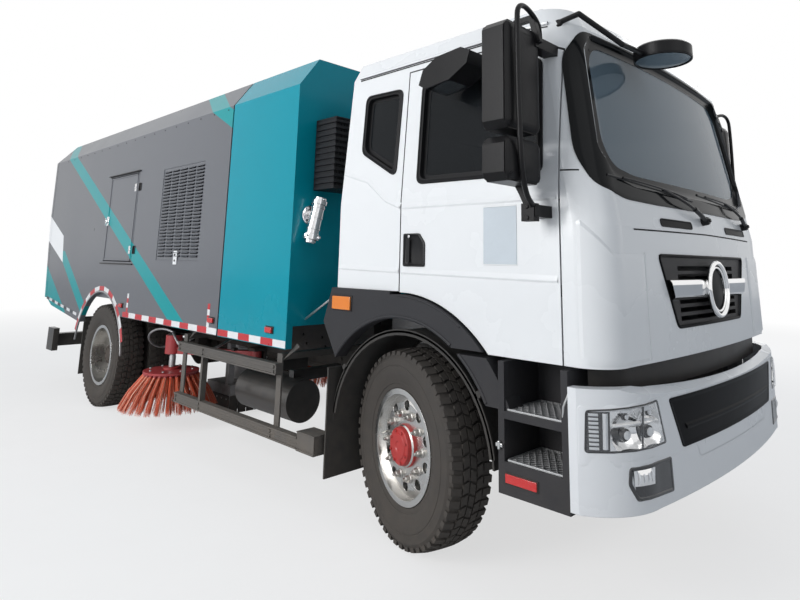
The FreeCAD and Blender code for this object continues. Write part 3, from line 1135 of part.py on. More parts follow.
def tufts(name, y):
    """Bristle tufts in rings, leaning out from the underside of the plate."""
    items = []
    for row_number, (count, root, tip) in enumerate(TUFT_ROWS):
        inner = f"{root} * plate_radius"
        splay = f"({tip} * brush_radius - {inner})"
        drop = "(brush_plate - brush_low - tuft_tip / 2)"
        cone = doc.addObject("Part::Cone", f"{name}_{row_number}")
        cone.setExpression("Radius1", formula("tuft_root"))
        cone.setExpression("Radius2", formula("tuft_tip"))
        cone.setExpression("Height", formula(f"sqrt({splay}^2 + {drop}^2)"))
        cone.Placement.Rotation = FreeCAD.Rotation(FreeCAD.Vector(0, 1, 0), 150)
        cone.setExpression("Placement.Rotation.Angle", formula(f"180 * 1 deg - atan({splay} / {drop})"))
        place(cone, inner, "0", "plate_wall / 2")
        items += [copy(f"{name}_{row_number}_{step}", cone, "brush_x", y, "brush_plate", 360 * step / count)
                  for step in range(count)]
    return items


for side, sign in (("left", 1), ("right", -1)):
    y = f"{sign} * brush_y"
    disc = rod(f"brush_disc_{side}", "z", "brush_x", y, "brush_plate", "plate_radius", "plate_wall")
    shaft = rod(f"brush_shaft_{side}", "z", "brush_x", y, "brush_plate", "brush_shaft",
                "arm_low - brush_plate - seat_gap")
    node(f"brush_{side}", join(f"brush_{side}", [disc, shaft] + tufts(f"tuft_{side}", y)))
    bar = prism(f"arm_bar_{side}", "XY",
                [("arm_x", f"{sign} * arm_y - arm_half"), ("arm_x", f"{sign} * arm_y + arm_half"),
                 ("brush_x", f"{y} + arm_half"), ("brush_x", f"{y} - arm_half")],
                "arm_depth", z="arm_low + arm_depth / 2")
    boss = rod(f"arm_boss_{side}", "z", "arm_x", f"{sign} * arm_y", "arm_low", "arm_boss", "arm_depth")
    motor = rod(f"arm_motor_{side}", "z", "brush_x", y, "arm_low", "motor_radius", "motor_high")
    bore = rod(f"arm_bore_{side}", "z", "arm_x", f"{sign} * arm_y", "arm_low - 5", "arm_pin + pin_clearance",
               "arm_depth + 10")
    node(f"brush_arm_{side}",
         cut(f"brush_arm_{side}", join(f"arm_solid_{side}", [bar, boss, motor]), [bore]))

# ---- Cab --------------------------------------------------------------------
# Level of each section of the cab, its front, its half width, its rear and how far in its edges are.
CAB_SECTIONS = [
    ("cab_sill", "cab_nose", "cab_half", "cab_rear"),
    ("cab_belt - 180", "cab_nose - 12", "cab_half", "cab_rear"),
    ("cab_belt", "cab_belt_x", "cab_half", "cab_rear"),
    ("cab_rail", "cab_brow_x", "cab_roof_half", "cab_rear + 20"),
    ("cab_rail + 0.66 * roof_rise", "cab_brow_x - 75", "cab_roof_half - 50", "cab_rear + 45"),
    ("cab_rail + roof_rise", "cab_brow_x - 250", "cab_roof_half - 270", "cab_rear + 180"),
]


def cab_wire(level, front, half, rear):
    """One horizontal section: straight sides and back, rounded corners, bowed front."""
    corner = VALUES["cab_corner"]
    bow = VALUES["cab_bow"]
    turn = 0.7071
    side = FreeCAD.Vector(front - corner, half, level)
    bend = FreeCAD.Vector(front - corner + turn * (corner - bow), half - corner + turn * corner, level)
    brow = FreeCAD.Vector(front - bow, half - corner, level)

    def other(point):
        return FreeCAD.Vector(point.x, -point.y, point.z)

    back = FreeCAD.Vector(rear, half, level)
    return Part.Wire([Part.LineSegment(back, side).toShape(), Part.Arc(side, bend, brow).toShape(),
                      Part.Arc(brow, FreeCAD.Vector(front, 0, level), other(brow)).toShape(),
                      Part.Arc(other(brow), other(bend), other(side)).toShape(),
                      Part.LineSegment(other(side), other(back)).toShape(),
                      Part.LineSegment(other(back), back).toShape()])


def cab_solid(name, inset, low):
    """The cab's outside, drawn in by an inset; low is where its bottom is."""
    wires = []
    for count, (level, front, half, rear) in enumerate(CAB_SECTIONS):
        height = number(level) if count else low
        drop = inset if count >= 4 else 0
        wires.append(cab_wire(height - drop, number(ahead(front)) - inset, number(half) - inset,
                              number(ahead(rear)) + inset))
    item = doc.addObject("Part::Feature", name)
    item.Shape = Part.makeLoft(wires, True, True)
    return item


wall = VALUES["cab_wall"]
outer = cab_solid("cab_outer", 0, VALUES["cab_sill"])
room = cab_solid("cab_room", wall, VALUES["cab_sill"] + wall)
open_room = cab_solid("cab_open_room", wall, VALUES["cab_sill"] - 50)
doc.recompute()
across = ("-2000", "2000")
back_low = box("cab_back_low", (ahead("cab_rear - 50"), ahead("toe_x")), across, ("500", "cab_back_sill"))
deck = common("cab_deck", outer, box("deck_box", (ahead("cab_rear"), ahead("toe_x + cab_wall")), across,
                                     ("cab_back_sill", "cab_back_sill + cab_wall")))
toe = common("cab_toe", outer, box("toe_box", (ahead("toe_x"), ahead("toe_x + cab_wall")), across,
                                   ("cab_sill", "cab_back_sill + cab_wall")))
hull = cut("cab_hull", cut("cab_hollow", outer, [room]), [back_low])


def door_outline(grow, low):
    rear = ahead(f"door_rear - ({grow})")
    front = ahead(f"door_front + ({grow})")
    return [(rear, low), (front, low),
            (front, f"door_top - 95 + ({grow})"), (ahead("door_front - 230"), f"door_top + ({grow})"),
            (rear, f"door_top + ({grow})")]


GLASS_OUTLINES = {
    "door": [("door_glass_rear", "door_glass_low"), ("door_glass_front", "door_glass_low - 12"),
             ("door_glass_front - 12", "door_glass_high - 25"), ("door_glass_rear", "door_glass_high")],
    "quarter": [("quarter_rear", "quarter_low + 100"), ("quarter_front", "quarter_low - 70"),
                ("quarter_front + 10", "quarter_high - 10"), ("quarter_rear", "quarter_high")],
}


def side_pane(name, kind, shrink, width):
    """An outline in side view; shrink draws its corners towards the middle."""
    signs = [(1, 1), (-1, 1), (-1, -1), (1, -1)]
    corners = [(ahead(f"{x} + {along} * {shrink}"), f"{z} + {up} * {shrink}")
               for (x, z), (along, up) in zip(GLASS_OUTLINES[kind], signs)]
    return prism(name, "XZ", corners, width)


# Right half of the windscreen's edge: (half width at that height, inset across, height)
SCREEN_EDGE = [("screen_half", 260, "cab_belt + 15"), ("screen_half", 90, "cab_belt + 60"),
               ("screen_half", 0, "cab_belt + 190"),
               ("screen_top_half", 0, "cab_rail - 120"), ("screen_top_half", 80, "cab_rail - 30")]


def front_pane(name, shrink, width):
    half = [(f"{edge} - {inset} - {shrink}", f"{z} + ({shrink}) * {1 if count < 3 else -1}")
            for count, (edge, inset, z) in enumerate(SCREEN_EDGE)]
    corners = half + [(f"-({y})", z) for y, z in reversed(half)]
    return prism(name, "YZ", corners, width, x=ahead("cab_brow_x + 100"))


def grille_outline(name, shrink, width):
    half = [(f"grille_low_half - {shrink}", f"grille_low + {shrink}"),
            (f"grille_high_half - {shrink}", f"grille_high - {shrink}")]
    corners = half + [(f"-({y})", z) for y, z in reversed(half)]
    return prism(name, "YZ", corners, width, x=ahead("cab_nose"))


rear_hole = box("rear_window_hole", (ahead("cab_rear - 50"), ahead("cab_rear + 150")),
                ("-back_pane_half", "back_pane_half"), ("back_pane_low", "back_pane_high"))
door_holes = []
for side, sign in (("left", 1), ("right", -1)):
    door_holes.append(prism(f"door_hole_{side}", "XZ", door_outline("door_gap", "cab_sill - cab_wall"),
                            "280",
                            y=f"{sign} * (cab_half - 5)"))
cuts = door_holes + [side_pane("quarter_hole", "quarter", 0, "3000"), front_pane("screen_hole", 0, "500"),
                     grille_outline("grille_hole", 0, "150"), rear_hole]
tilt_arms = []
for side, sign in (("left", 1), ("right", -1)):
    arm = prism(f"tilt_arm_{side}", "XZ", [
        (ahead("tilt_x - 40"), "tilt_z - 42"), (ahead("tilt_x + 45"), "tilt_z - 42"),
        (ahead("tilt_x + 45"), "tilt_z + 30"),
        (ahead("tilt_x - 190"), "cab_sill + 20"), (ahead("tilt_x - 420"), "cab_sill + 20")],
                "tilt_arm_wall", y=f"{sign} * (tilt_arm_y + tilt_arm_wall / 2)")
    tilt_arms.append(cut(f"tilt_lug_{side}", arm,
                         [rod(f"tilt_bore_{side}", "y", ahead("tilt_x"), "-2000", "tilt_z",
                              "tilt_radius + pin_clearance", "4000")]))
HINGES = (("low", "hinge_low"), ("high", "hinge_high"))
HINGE_X = ahead("door_front - hinge_back")


def hinge_arm(name, sign, z):
    """Gooseneck from the cab's wall round to a door's hinge, with its pin."""
    y = "cab_half - hinge_in"
    height = (f"{z} - hinge_arm / 2", f"{z} + hinge_arm / 2")
    inner = "cab_half - cab_wall - hinge_plate"
    return [box(name + "_plate", (f"{HINGE_X} - hinge_boss", ahead("door_front + door_gap + 30")),
                span(sign, inner, "cab_half - cab_wall"), height),
            box(name + "_neck", (f"{HINGE_X} - hinge_boss", f"{HINGE_X} + hinge_boss"),
                span(sign, inner, y), height),
            rod(name + "_boss", "z", HINGE_X, f"{sign} * ({y})", height[0], "hinge_boss", "hinge_arm"),
            rod(name + "_pin", "z", HINGE_X, f"{sign} * ({y})", f"{height[0]} - hinge_gap - hinge_grip",
                "hinge_pin",
                "hinge_arm + 2 * (hinge_gap + hinge_grip)")]


def hinge_pocket(name, sign, z):
    """What is cut from a door round a hinge: room for the gooseneck and a bore for the pin."""
    tall = "(hinge_arm / 2 + hinge_gap)"
    return [box(name + "_pocket", (f"{HINGE_X} - hinge_boss - 8", ahead("door_front + 10")),
                span(sign, "cab_half - cab_wall - 10", "cab_half - 3"), (f"{z} - {tall}", f"{z} + {tall}")),
            rod(name + "_bore", "z", HINGE_X, f"{sign} * (cab_half - hinge_in)",
                f"{z} - {tall} - hinge_grip - 2",
                "hinge_pin + pin_clearance", f"2 * ({tall} + hinge_grip + 2)")]


hinge_arms = [piece for side, sign in (("left", 1), ("right", -1)) for word, z in HINGES
              for piece in hinge_arm(f"hinge_{side}_{word}", sign, z)]
node("cab_shell", join("cab_shell", [cut("cab_open", join("cab_solid", [hull, deck, toe]), cuts)]
                       + tilt_arms + hinge_arms))

skin = cut("cab_skin", outer, [open_room])
arch_cut = rod("door_arch", "y", "axle_front", "-2000", "tyre_radius", "cab_arch", "4000")
glass_skin = cut("glass_skin", cab_solid("glass_outer", 24, VALUES["cab_sill"]),
                 [cab_solid("glass_inner", 24 + VALUES["glass_wall"], VALUES["cab_sill"] - 50)])
door_hole = side_pane("door_glass_hole", "door", 0, "3000")
door_pane = common("door_panes", glass_skin, side_pane("door_pane_shape", "door", "seat_gap", "3000"))
for side, sign in (("left", 1), ("right", -1)):
    panel = common(f"door_panel_{side}", skin,
                   prism(f"door_shape_{side}", "XZ", door_outline("0", "cab_sill"), "260",
                         y=f"{sign} * (cab_half - 5)"))
    pockets = [piece for word, z in HINGES for piece in hinge_pocket(f"door_{side}_{word}", sign, z)]
    node(f"door_{side}", cut(f"door_{side}", panel, [arch_cut, door_hole] + pockets))
    half_space = box(f"glass_side_{side}", (ahead("-800"), ahead("1500")), span(sign, "500", "1500"),
                     ("1000", "3000"))
    node(f"door_glass_{side}", common(f"door_glass_{side}", door_pane, half_space))

quarter = common("quarter_panes", glass_skin, side_pane("quarter_shape", "quarter", "seat_gap", "3000"))
rear_pane = box("rear_pane", (ahead("cab_rear + 30"), ahead("cab_rear + 30 + glass_wall")),
                ("-back_pane_half + seat_gap", "back_pane_half - seat_gap"),
                ("back_pane_low + seat_gap", "back_pane_high - seat_gap"))
node("windscreen", common("windscreen", glass_skin, front_pane("screen_shape", "seat_gap", "500")))
node("cab_side_glass", join("cab_side_glass", [quarter, rear_pane]))

plate = common("grille_plate", cut("grille_skin", cab_solid("grille_outer", 6, VALUES["cab_sill"]),
                                   [cab_solid("grille_inner", 40, VALUES["cab_sill"] - 50)]),
               grille_outline("grille_shape", "seat_gap", "150"))
slots = [box(f"grille_slot_{count}", (ahead("1100"), ahead("1500")), ("-430", "430"),
             (f"grille_low + {28 + 42 * count}", f"grille_low + {52 + 42 * count}"))
         for count in (0, 1, 2, 5, 6)]
node("front_grille", cut("front_grille", plate, slots))


def cab_flare(name, sign):
    """Wheel flare on the cab: the rear quarter and the arc under the door."""
    y = span(sign, "flare_face - flare_wall", "flare_face")
    arc = common(name + "_arc",
                 rod(name + "_out", "y", "axle_front", "-2000", "tyre_radius", "cab_arch - 10", "4000"),
                 box(name + "_arc_box", (ahead("-90"), ahead("640")), y,
                     ("cab_sill + 10", "cab_back_sill")))
    back = prism(name + "_back", "XZ",
                 [(ahead("cab_rear - 30"), "cab_back_sill"), (ahead("-80"), "cab_back_sill"),
                  (ahead("-80"), "cab_back_sill - 250"), (ahead("-470"), "950"),
                  (ahead("-560"), "950"), (ahead("cab_rear - 105"), "1155")],
                 "flare_wall", y=f"{sign} * (flare_face - flare_wall / 2)")
    return cut(name, join(name + "_solid", [arc, back]),
               [rod(name + "_hole", "y", "axle_front", "-2000", "tyre_radius", "wheel_opening", "4000")])


pair("cab_flares", cab_flare)

# Seats: (middle y, half width)
SEATS = [(620, 250), (0, 190), (-620, 250)]
seat_floor = "cab_back_sill + cab_wall"
seat_parts = []
for count, (middle, half) in enumerate(SEATS):
    y = (f"{middle - half}", f"{middle + half}")
    head = (f"{middle} - head_half", f"{middle} + head_half")
    seat_parts += [
        box(f"seat_base_{count}", (ahead("seat_squab"), ahead("seat_front")), y,
            (seat_floor, f"{seat_floor} + seat_rise")),
        box(f"seat_back_{count}", (ahead("seat_back"), ahead("seat_squab")), y,
            (seat_floor, f"{seat_floor} + back_rise")),
        box(f"seat_head_{count}", (ahead("seat_back + 10"), ahead("seat_squab - 30")), head,
            (f"{seat_floor} + back_rise", f"{seat_floor} + back_rise + head_rise"))]
node("seats", join("seats", seat_parts))

desk = prism("dash_body", "XZ", [(ahead("dash_rear"), "dash_low"), (ahead("dash_front"), "dash_low"),
                                 (ahead("dash_front - 20"), "dash_high - 55"),
                                 (ahead("dash_front - 105"), "dash_high"),
                                 (ahead("dash_rear + 30"), "dash_high - 25")], "2 * dash_half")
feet = [box(f"dash_foot_{side}", (ahead("dash_front - 165"), ahead("dash_front - 65")),
            span(sign, "600", "700"),
            ("cab_sill + cab_wall", "dash_low")) for side, sign in (("left", 1), ("right", -1))]
ring = doc.addObject("Part::Torus", "helm_ring")
ring.setExpression("Radius1", formula("helm_radius"))
ring.setExpression("Radius2", formula("helm_grip"))
bar = box("helm_bar", ("-helm_radius", "helm_radius"), ("-22", "22"), ("-helm_grip", "helm_grip"))
column = rod("helm_column", "z", "0", "0", "-column_length", "column_radius", "column_length")
helm = join("helm", [ring, bar, column])
helm.Placement.Rotation = FreeCAD.Rotation(FreeCAD.Vector(0, 1, 0), -VALUES["helm_rake"])
node("dashboard", join("dashboard", [desk, place(helm, ahead("helm_x"), "helm_y", "helm_z")] + feet))

# Mirror heads on each door: (name, underside, top)
MIRROR_HEADS = [("main", 2130, 2640), ("low", 1895, 2095)]
# The mirror arm's rear edge and then its front edge: (ahead of the front axle, height)
MIRROR_ARM = [(955, 1760), (905, 1860), (850, 1955), (850, 2670), (890, 2725), (1000, 2725), (1040, 2580),
              (1010, 2575), (978, 2697), (902, 2697), (878, 2660), (878, 1965), (932, 1872), (985, 1772)]


def head_solid(name, sign, low, high):
    """A mirror's housing, an upright plate with its corners cut off."""
    low = f"{low} + 0"
    y = ["mirror_near", "mirror_near + mirror_cut", "mirror_far - mirror_cut", "mirror_far"]
    z = [low, f"{low} + mirror_cut", f"{high} - mirror_cut", str(high)]
    places = [(1, 0), (2, 0), (3, 1), (3, 2), (2, 3), (1, 3), (0, 2), (0, 1)]
    corners = [(y[across] if sign > 0 else f"-({y[across]})", z[up]) for across, up in places]
    return prism(name, "YZ", corners, "mirror_wall", x=ahead("mirror_rear + mirror_wall / 2"))


def mirror_set(name, sign):
    """Mirrors on one bent arm, held by the door at its foot and its head."""
    parts = [head_solid(f"{name}_{word}", sign, low, high) for word, low, high in MIRROR_HEADS]
    parts.append(prism(name + "_arm", "XZ", [(ahead(x), str(z)) for x, z in MIRROR_ARM], "mirror_arm",
                       y=f"{sign} * mirror_arm_y"))
    for word, x, near, z in (("foot", 930, 1150, 1750), ("head", 945, 1100, 2560)):
        parts.append(box(f"{name}_{word}", (ahead(x), ahead(f"{x} + 70")),
                         span(sign, near, "mirror_arm_y + mirror_arm / 2"),
                         (z, f"{z} + 55")))
    return parts


seat = cab_solid("mirror_seat", -VALUES["seat_gap"], VALUES["cab_sill"])
# Kerb mirror above the right door's window: (ahead of the front axle, height)
KERB_MIRROR = [(300, 2490), (350, 2460), (520, 2480), (640, 2545), (660, 2610), (600, 2640), (430, 2625),
               (330, 2570)]
kerb = [prism("kerb_bowl", "XZ", [(ahead(x), str(z)) for x, z in KERB_MIRROR], "180",
              y="-(cab_half + 110)"),
        box("kerb_bracket", (ahead("520"), ahead("590")), span(-1, "cab_roof_half - 20", "cab_half + 40"),
            ("2600", "2635"))]
for side, sign, more in (("left", 1, []), ("right", -1, kerb)):
    node(f"mirror_{side}", cut(f"mirror_{side}", join(f"mirror_set_{side}",
                                                      mirror_set(f"mirror_{side}", sign) + more), [seat]))

# Front mirror's arm, from the roof's corner to the dish: (ahead of the front axle, y, height)
DISH_ARM = [("1000", "-1060", "2760"), ("1130", "-1090", "2760"), ("1250", "-880", "2630"),
            ("dish_x - 60", "dish_y - 60", "dish_z + 25")]
dish = rod("dish_bowl", "z", ahead("dish_x"), "dish_y", "dish_z", "dish_radius", "dish_wall")
links = []
for count in range(len(DISH_ARM) - 1):
    ends = [(ahead(x), y, z) for x, y, z in DISH_ARM[count:count + 2]]
    links.append(strut(f"dish_arm_{count}", ends[0], ends[1], "dish_arm"))
    knee = doc.addObject("Part::Sphere", f"dish_knee_{count}")
    knee.setExpression("Radius", formula("dish_arm"))
    links.append(place(knee, *ends[1]))
node("front_mirror", cut("front_mirror", join("front_mirror_set", [dish] + links), [seat]))

doc.recompute()
os.makedirs("parts", exist_ok=True)
bad = [item.Name for item in doc.Objects if "Invalid" in item.State or "Error" in item.State]
if bad:
    raise SystemExit("failed objects: " + ", ".join(bad))
for item in nodes:
    shape = item.Shape
    if shape.isNull() or not shape.isValid():
        raise SystemExit("bad shape: " + item.Label)
    shape.exportStep(os.path.join("parts", item.Label + ".step"))
    print(item.Label, len(shape.Solids), round(shape.Volume / 1e9, 5))
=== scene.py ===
import math
import random

import bmesh
import bpy
from mathutils import Matrix, Vector
from mathutils.bvhtree import BVHTree


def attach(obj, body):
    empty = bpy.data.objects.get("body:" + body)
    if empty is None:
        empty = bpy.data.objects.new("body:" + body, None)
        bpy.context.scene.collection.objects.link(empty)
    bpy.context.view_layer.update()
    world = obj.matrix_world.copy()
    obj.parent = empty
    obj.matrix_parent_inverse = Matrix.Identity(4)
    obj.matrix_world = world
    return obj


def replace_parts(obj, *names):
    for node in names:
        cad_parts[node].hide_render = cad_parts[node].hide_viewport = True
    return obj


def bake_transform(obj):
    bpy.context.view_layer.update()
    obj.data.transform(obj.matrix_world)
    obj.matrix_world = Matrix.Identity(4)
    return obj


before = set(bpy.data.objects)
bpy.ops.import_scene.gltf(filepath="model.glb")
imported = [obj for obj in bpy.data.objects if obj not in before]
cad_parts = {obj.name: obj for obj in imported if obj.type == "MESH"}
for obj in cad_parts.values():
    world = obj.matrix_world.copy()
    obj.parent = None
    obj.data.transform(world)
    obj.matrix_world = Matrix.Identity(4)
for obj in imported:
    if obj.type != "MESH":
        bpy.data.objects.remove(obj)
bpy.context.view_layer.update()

# ---- The yard ----------------------------------------------------------------
# A pale concrete apron, swept clean, that fades into a white sky, with soft light
# from the truck's right and a weaker one from ahead.
apron_mesh = bpy.data.meshes.new("apron")
apron_mesh.from_pydata([(-40, -40, 0), (40, -40, 0), (40, 40, 0), (-40, 40, 0)], [], [(0, 1, 2, 3)])
apron = bpy.data.objects.new("apron", apron_mesh)
bpy.context.scene.collection.objects.link(apron)


def shade(tree, kind, result=None, inputs=None, **settings):
    """Adds a shader step and gives the result that is wanted, or the step itself.
    Each input is a number, a colour or another step's result."""
    made = tree.nodes.new("ShaderNode" + kind)
    for name, value in settings.items():
        setattr(made, name, value)
    for socket, value in (inputs or {}).items():
        if isinstance(value, bpy.types.NodeSocket):
            tree.links.new(value, made.inputs[socket])
        else:
            made.inputs[socket].default_value = value
    return made.outputs[result] if result else made


def maths(tree, kind, *values):
    return shade(tree, "Math", "Value", dict(enumerate(values)), operation=kind)


concrete = bpy.data.materials.new("pale_concrete")
concrete.use_nodes = True
tree = concrete.node_tree
tree.nodes.clear()
where = shade(tree, "TexCoord", "Object")
distance = shade(tree, "VectorMath", "Value", {0: where}, operation="LENGTH")
fade = shade(tree, "MapRange", "Result",
             {"Value": distance, "From Min": 6.0, "From Max": 16.0, "To Min": 0.66})
seen = maths(tree, "MULTIPLY", shade(tree, "LightPath", "Is Camera Ray"), fade)
mottle = shade(tree, "TexNoise", "Fac", {"Vector": where, "Scale": 3.0, "Detail": 6.0})
tint = shade(tree, "MapRange", "Result", {"Value": mottle, "To Min": 0.74, "To Max": 0.8})
cast = shade(tree, "BsdfDiffuse", "BSDF", {"Color": tint})
glow = shade(tree, "Emission", "Emission")
surface = shade(tree, "MixShader", "Shader", {"Fac": seen, 1: cast, 2: glow})
shade(tree, "OutputMaterial", None, {"Surface": surface})
apron_mesh.materials.append(concrete)

sky = bpy.data.worlds.new("overcast")
bpy.context.scene.world = sky
sky.use_nodes = True
tree = sky.node_tree
tree.nodes.clear()
height = shade(tree, "SeparateXYZ", "Z", {"Vector": shade(tree, "TexCoord", "Generated")})
band = shade(tree, "ValToRGB", None,
             {"Fac": shade(tree, "MapRange", "Result", {"Value": height, "From Min": -1.0})})
for stop, (place, colour) in zip(band.color_ramp.elements,
                                 ((0.42, (0.30, 0.31, 0.32, 1)), (0.62, (0.62, 0.68, 0.76, 1)))):
    stop.position = place
    stop.color = colour
soft = shade(tree, "Background", "Background", {"Color": band.outputs["Color"], "Strength": 0.6})
white = shade(tree, "Background", "Background", {"Color": (1, 1, 1, 1)})
path = shade(tree, "LightPath").outputs
shown = maths(tree, "MAXIMUM", path["Is Camera Ray"], path["Is Glossy Ray"])
shown = maths(tree, "MAXIMUM", shown, path["Is Transmission Ray"])
shade(tree, "OutputWorld", None,
      {"Surface": shade(tree, "MixShader", "Shader", {"Fac": shown, 1: soft, 2: white})})

for name, place, aim, size, power in (
        ("side_softbox", (0.2, -10.8, 4.6), (1.2, 0.0, 1.3), 5.0, 800),
        ("front_softbox", (11.0, -2.0, 5.0), (2.5, 0.0, 1.4), 5.0, 60),
        ("far_softbox", (0.0, 10.0, 6.0), (0.0, 0.0, 1.5), 6.0, 300)):
    lamp = bpy.data.lights.new(name, "AREA")
    lamp.size = size
    lamp.energy = power
    holder = bpy.data.objects.new(name, lamp)
    holder.location = place
    holder.rotation_euler = (Vector(aim) - Vector(place)).to_track_quat("-Z", "Y").to_euler()
    bpy.context.scene.collection.objects.link(holder)

# One looks slightly up at the cab's right front corner, from head height.
lens = bpy.data.cameras.new("yard_camera")
lens.sensor_width = 36.0
lens.lens = 26.79
lens.shift_x = -0.0309
lens.shift_y = -0.1888
lens.clip_end = 200.0
camera = bpy.data.objects.new("yard_camera", lens)
camera.location = (5.2083, -3.6121, 1.5414)
camera.rotation_euler = (1.757588, -0.015852, 0.762264)
bpy.context.scene.collection.objects.link(camera)
bpy.context.scene.camera = camera
bpy.context.scene.view_settings.view_transform = "Standard"

# ---- Chassis frame -----------------------------------------------------------
# Two pressed C rails, cross members and the body's box subframe, of black painted
# steel with road dust on it. The bolt rows hold the brackets to the rails.
ROAD_DUST = (0.21, 0.175, 0.14)


def mixed(tree, share, below, above):
    """Goes from one colour to another, each a triple or another step's result."""
    below, above = [(*tone, 1) if isinstance(tone, (list, tuple)) else tone for tone in (below, above)]
    return shade(tree, "Mix", "Result", {"Factor": share, "A": below, "B": above}, data_type="RGBA")


def finish(name, colour, rough, metallic=0.0, coat=0.0, patch=0.06, patch_size=3.0, grain=0.0,
           grain_size=60.0, dust=0.0, dust_top=1.6, edge=0.004, mirror=0.5):
    """A paint, metal or moulding: its colour in slightly uneven patches, a fine
    surface grain, rounded edges, and road dust that thins out with height."""
    made = bpy.data.materials.new(name)
    made.use_nodes = True
    tree = made.node_tree
    shader = tree.nodes["Principled BSDF"]
    for socket, value in (("Metallic", metallic), ("Coat Weight", coat), ("Coat Roughness", 0.06),
                          ("Specular IOR Level", mirror)):
        shader.inputs[socket].default_value = value
    where = shade(tree, "TexCoord", "Object")
    cloud = shade(tree, "TexNoise", "Fac", {"Vector": where, "Scale": patch_size, "Detail": 5.0})
    low, high = [[min(1.0, max(0.0, share * (1 + way * patch))) for share in colour] for way in (-1, 1)]
    tone = mixed(tree, cloud, low, high)
    roughness = shade(tree, "MapRange", "Result", {"Value": cloud, "To Min": max(0.02, rough - 0.07),
                                                  "To Max": min(1.0, rough + 0.07)})
    if dust > 0:
        level = shade(tree, "SeparateXYZ", "Z", {"Vector": where})
        settled = shade(tree, "MapRange", "Result",
                        {"Value": level, "From Min": dust_top, "From Max": 0.1, "To Max": dust})
        speckle = shade(tree, "TexNoise", "Fac", {"Vector": where, "Scale": 14.0, "Detail": 8.0})
        amount = maths(tree, "MULTIPLY", settled, speckle)
        tone = mixed(tree, amount, tone, ROAD_DUST)
        roughness = shade(tree, "Math", "Value", {0: roughness, 1: amount}, operation="ADD", use_clamp=True)
    normal = shade(tree, "Bevel", "Normal", {"Radius": edge}, samples=4)
    if grain > 0:
        fine = shade(tree, "TexNoise", "Fac", {"Vector": where, "Scale": grain_size, "Detail": 3.0})
        normal = shade(tree, "Bump", "Normal",
                       {"Strength": grain, "Distance": 0.004, "Height": fine, "Normal": normal})
    for socket, result in (("Base Color", tone), ("Roughness", roughness), ("Normal", normal)):
        tree.links.new(result, shader.inputs[socket])
    return made


def dress(material, *nodes):
    """Gives CAD nodes their finish."""
    for name in nodes:
        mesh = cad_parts[name].data
        mesh.materials.clear()
        mesh.materials.append(material)


def shaped(name, mesh, material, crease=40):
    """Makes an object of a mesh that was built in place; edges sharper than the crease stay."""
    data = bpy.data.meshes.new(name)
    bmesh.ops.recalc_face_normals(mesh, faces=mesh.faces)
    mesh.to_mesh(data)
    mesh.free()
    for face in data.polygons:
        face.use_smooth = True
    data.set_sharp_from_angle(angle=math.radians(crease))
    for one in material if isinstance(material, (list, tuple)) else [material]:
        data.materials.append(one)
    piece = bpy.data.objects.new(name, data)
    bpy.context.scene.collection.objects.link(piece)
    return piece


def fit(name, mesh, body, material, bevel=0.0, crease=40):
    """Finishes a piece and fixes it to a body of the truck."""
    piece = shaped(name, mesh, material, crease)
    if bevel:
        edges = piece.modifiers.new("rounded_edges", "BEVEL")
        edges.width = bevel
        edges.segments = 2
        edges.limit_method = "ANGLE"
        edges.angle_limit = math.radians(40)
    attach(piece, body)
    return piece


def slab(mesh, low, high, index=0):
    """Adds a rectangular bar between two corners."""
    x, y, z = [sorted(pair) for pair in zip(low, high)]
    corners = [mesh.verts.new((x[i & 1], y[i >> 1 & 1], z[i >> 2 & 1])) for i in range(8)]
    for loop in ((0, 2, 3, 1), (4, 5, 7, 6), (0, 1, 5, 4), (2, 6, 7, 3), (0, 4, 6, 2), (1, 3, 7, 5)):
        mesh.faces.new([corners[i] for i in loop]).material_index = index
    return corners


def joined(mesh, rows, index=0, closed=True, capped=False):
    """Joins each row of corners to the next; closed rows are rings, capped ones end in a face."""
    for low, high in zip(rows, rows[1:]):
        for k in range(len(low) if closed else len(low) - 1):
            ring = (k + 1) % len(low)
            mesh.faces.new((low[k], low[ring], high[ring], high[k])).material_index = index
    if capped:
        mesh.faces.new(rows[-1]).material_index = index
        mesh.faces.new(rows[0][::-1]).material_index = index


def angles(count, start=0.0):
    """Equal turns right round, in radians; the start is in degrees."""
    return [math.radians(start) + 2 * math.pi * k / count for k in range(count)]


def bolt(mesh, spot, facing, radius, height, sides=6, index=0):
    """Adds a bolt head or other short stub that stands on a surface."""
    turn = Vector(facing).to_track_quat("Z", "Y").to_matrix()
    rows = [[mesh.verts.new(Vector(spot) + turn @ Vector((wide * math.cos(angle), wide * math.sin(angle),
                                                          up)))
             for angle in angles(sides)]
            for wide, up in ((radius, 0.0), (radius, height * 0.75), (radius * 0.82, height))]
    joined(mesh, rows, index, capped=True)


chassis_black = finish("chassis_black", (0.015, 0.015, 0.017), 0.42, mirror=0.2, patch=0.3, grain=0.15,
                       dust=0.55, dust_top=1.5)
dress(chassis_black, "frame_rails", "cross_members", "subframe", "leaf_springs", "drive_shaft")
bolts = bmesh.new()
for side in (1, -1):
    for row, z in enumerate((0.76, 0.83, 0.90)):
        for hole in range(26):
            x = -3.6 + 0.27 * hole + 0.05 * (row % 2)
            if abs(x - 0.1) > 0.09:
                bolt(bolts, (x, side * 0.430, z), (0, side, 0), 0.013, 0.010)
fit("rail_bolts", bolts, "chassis", chassis_black)

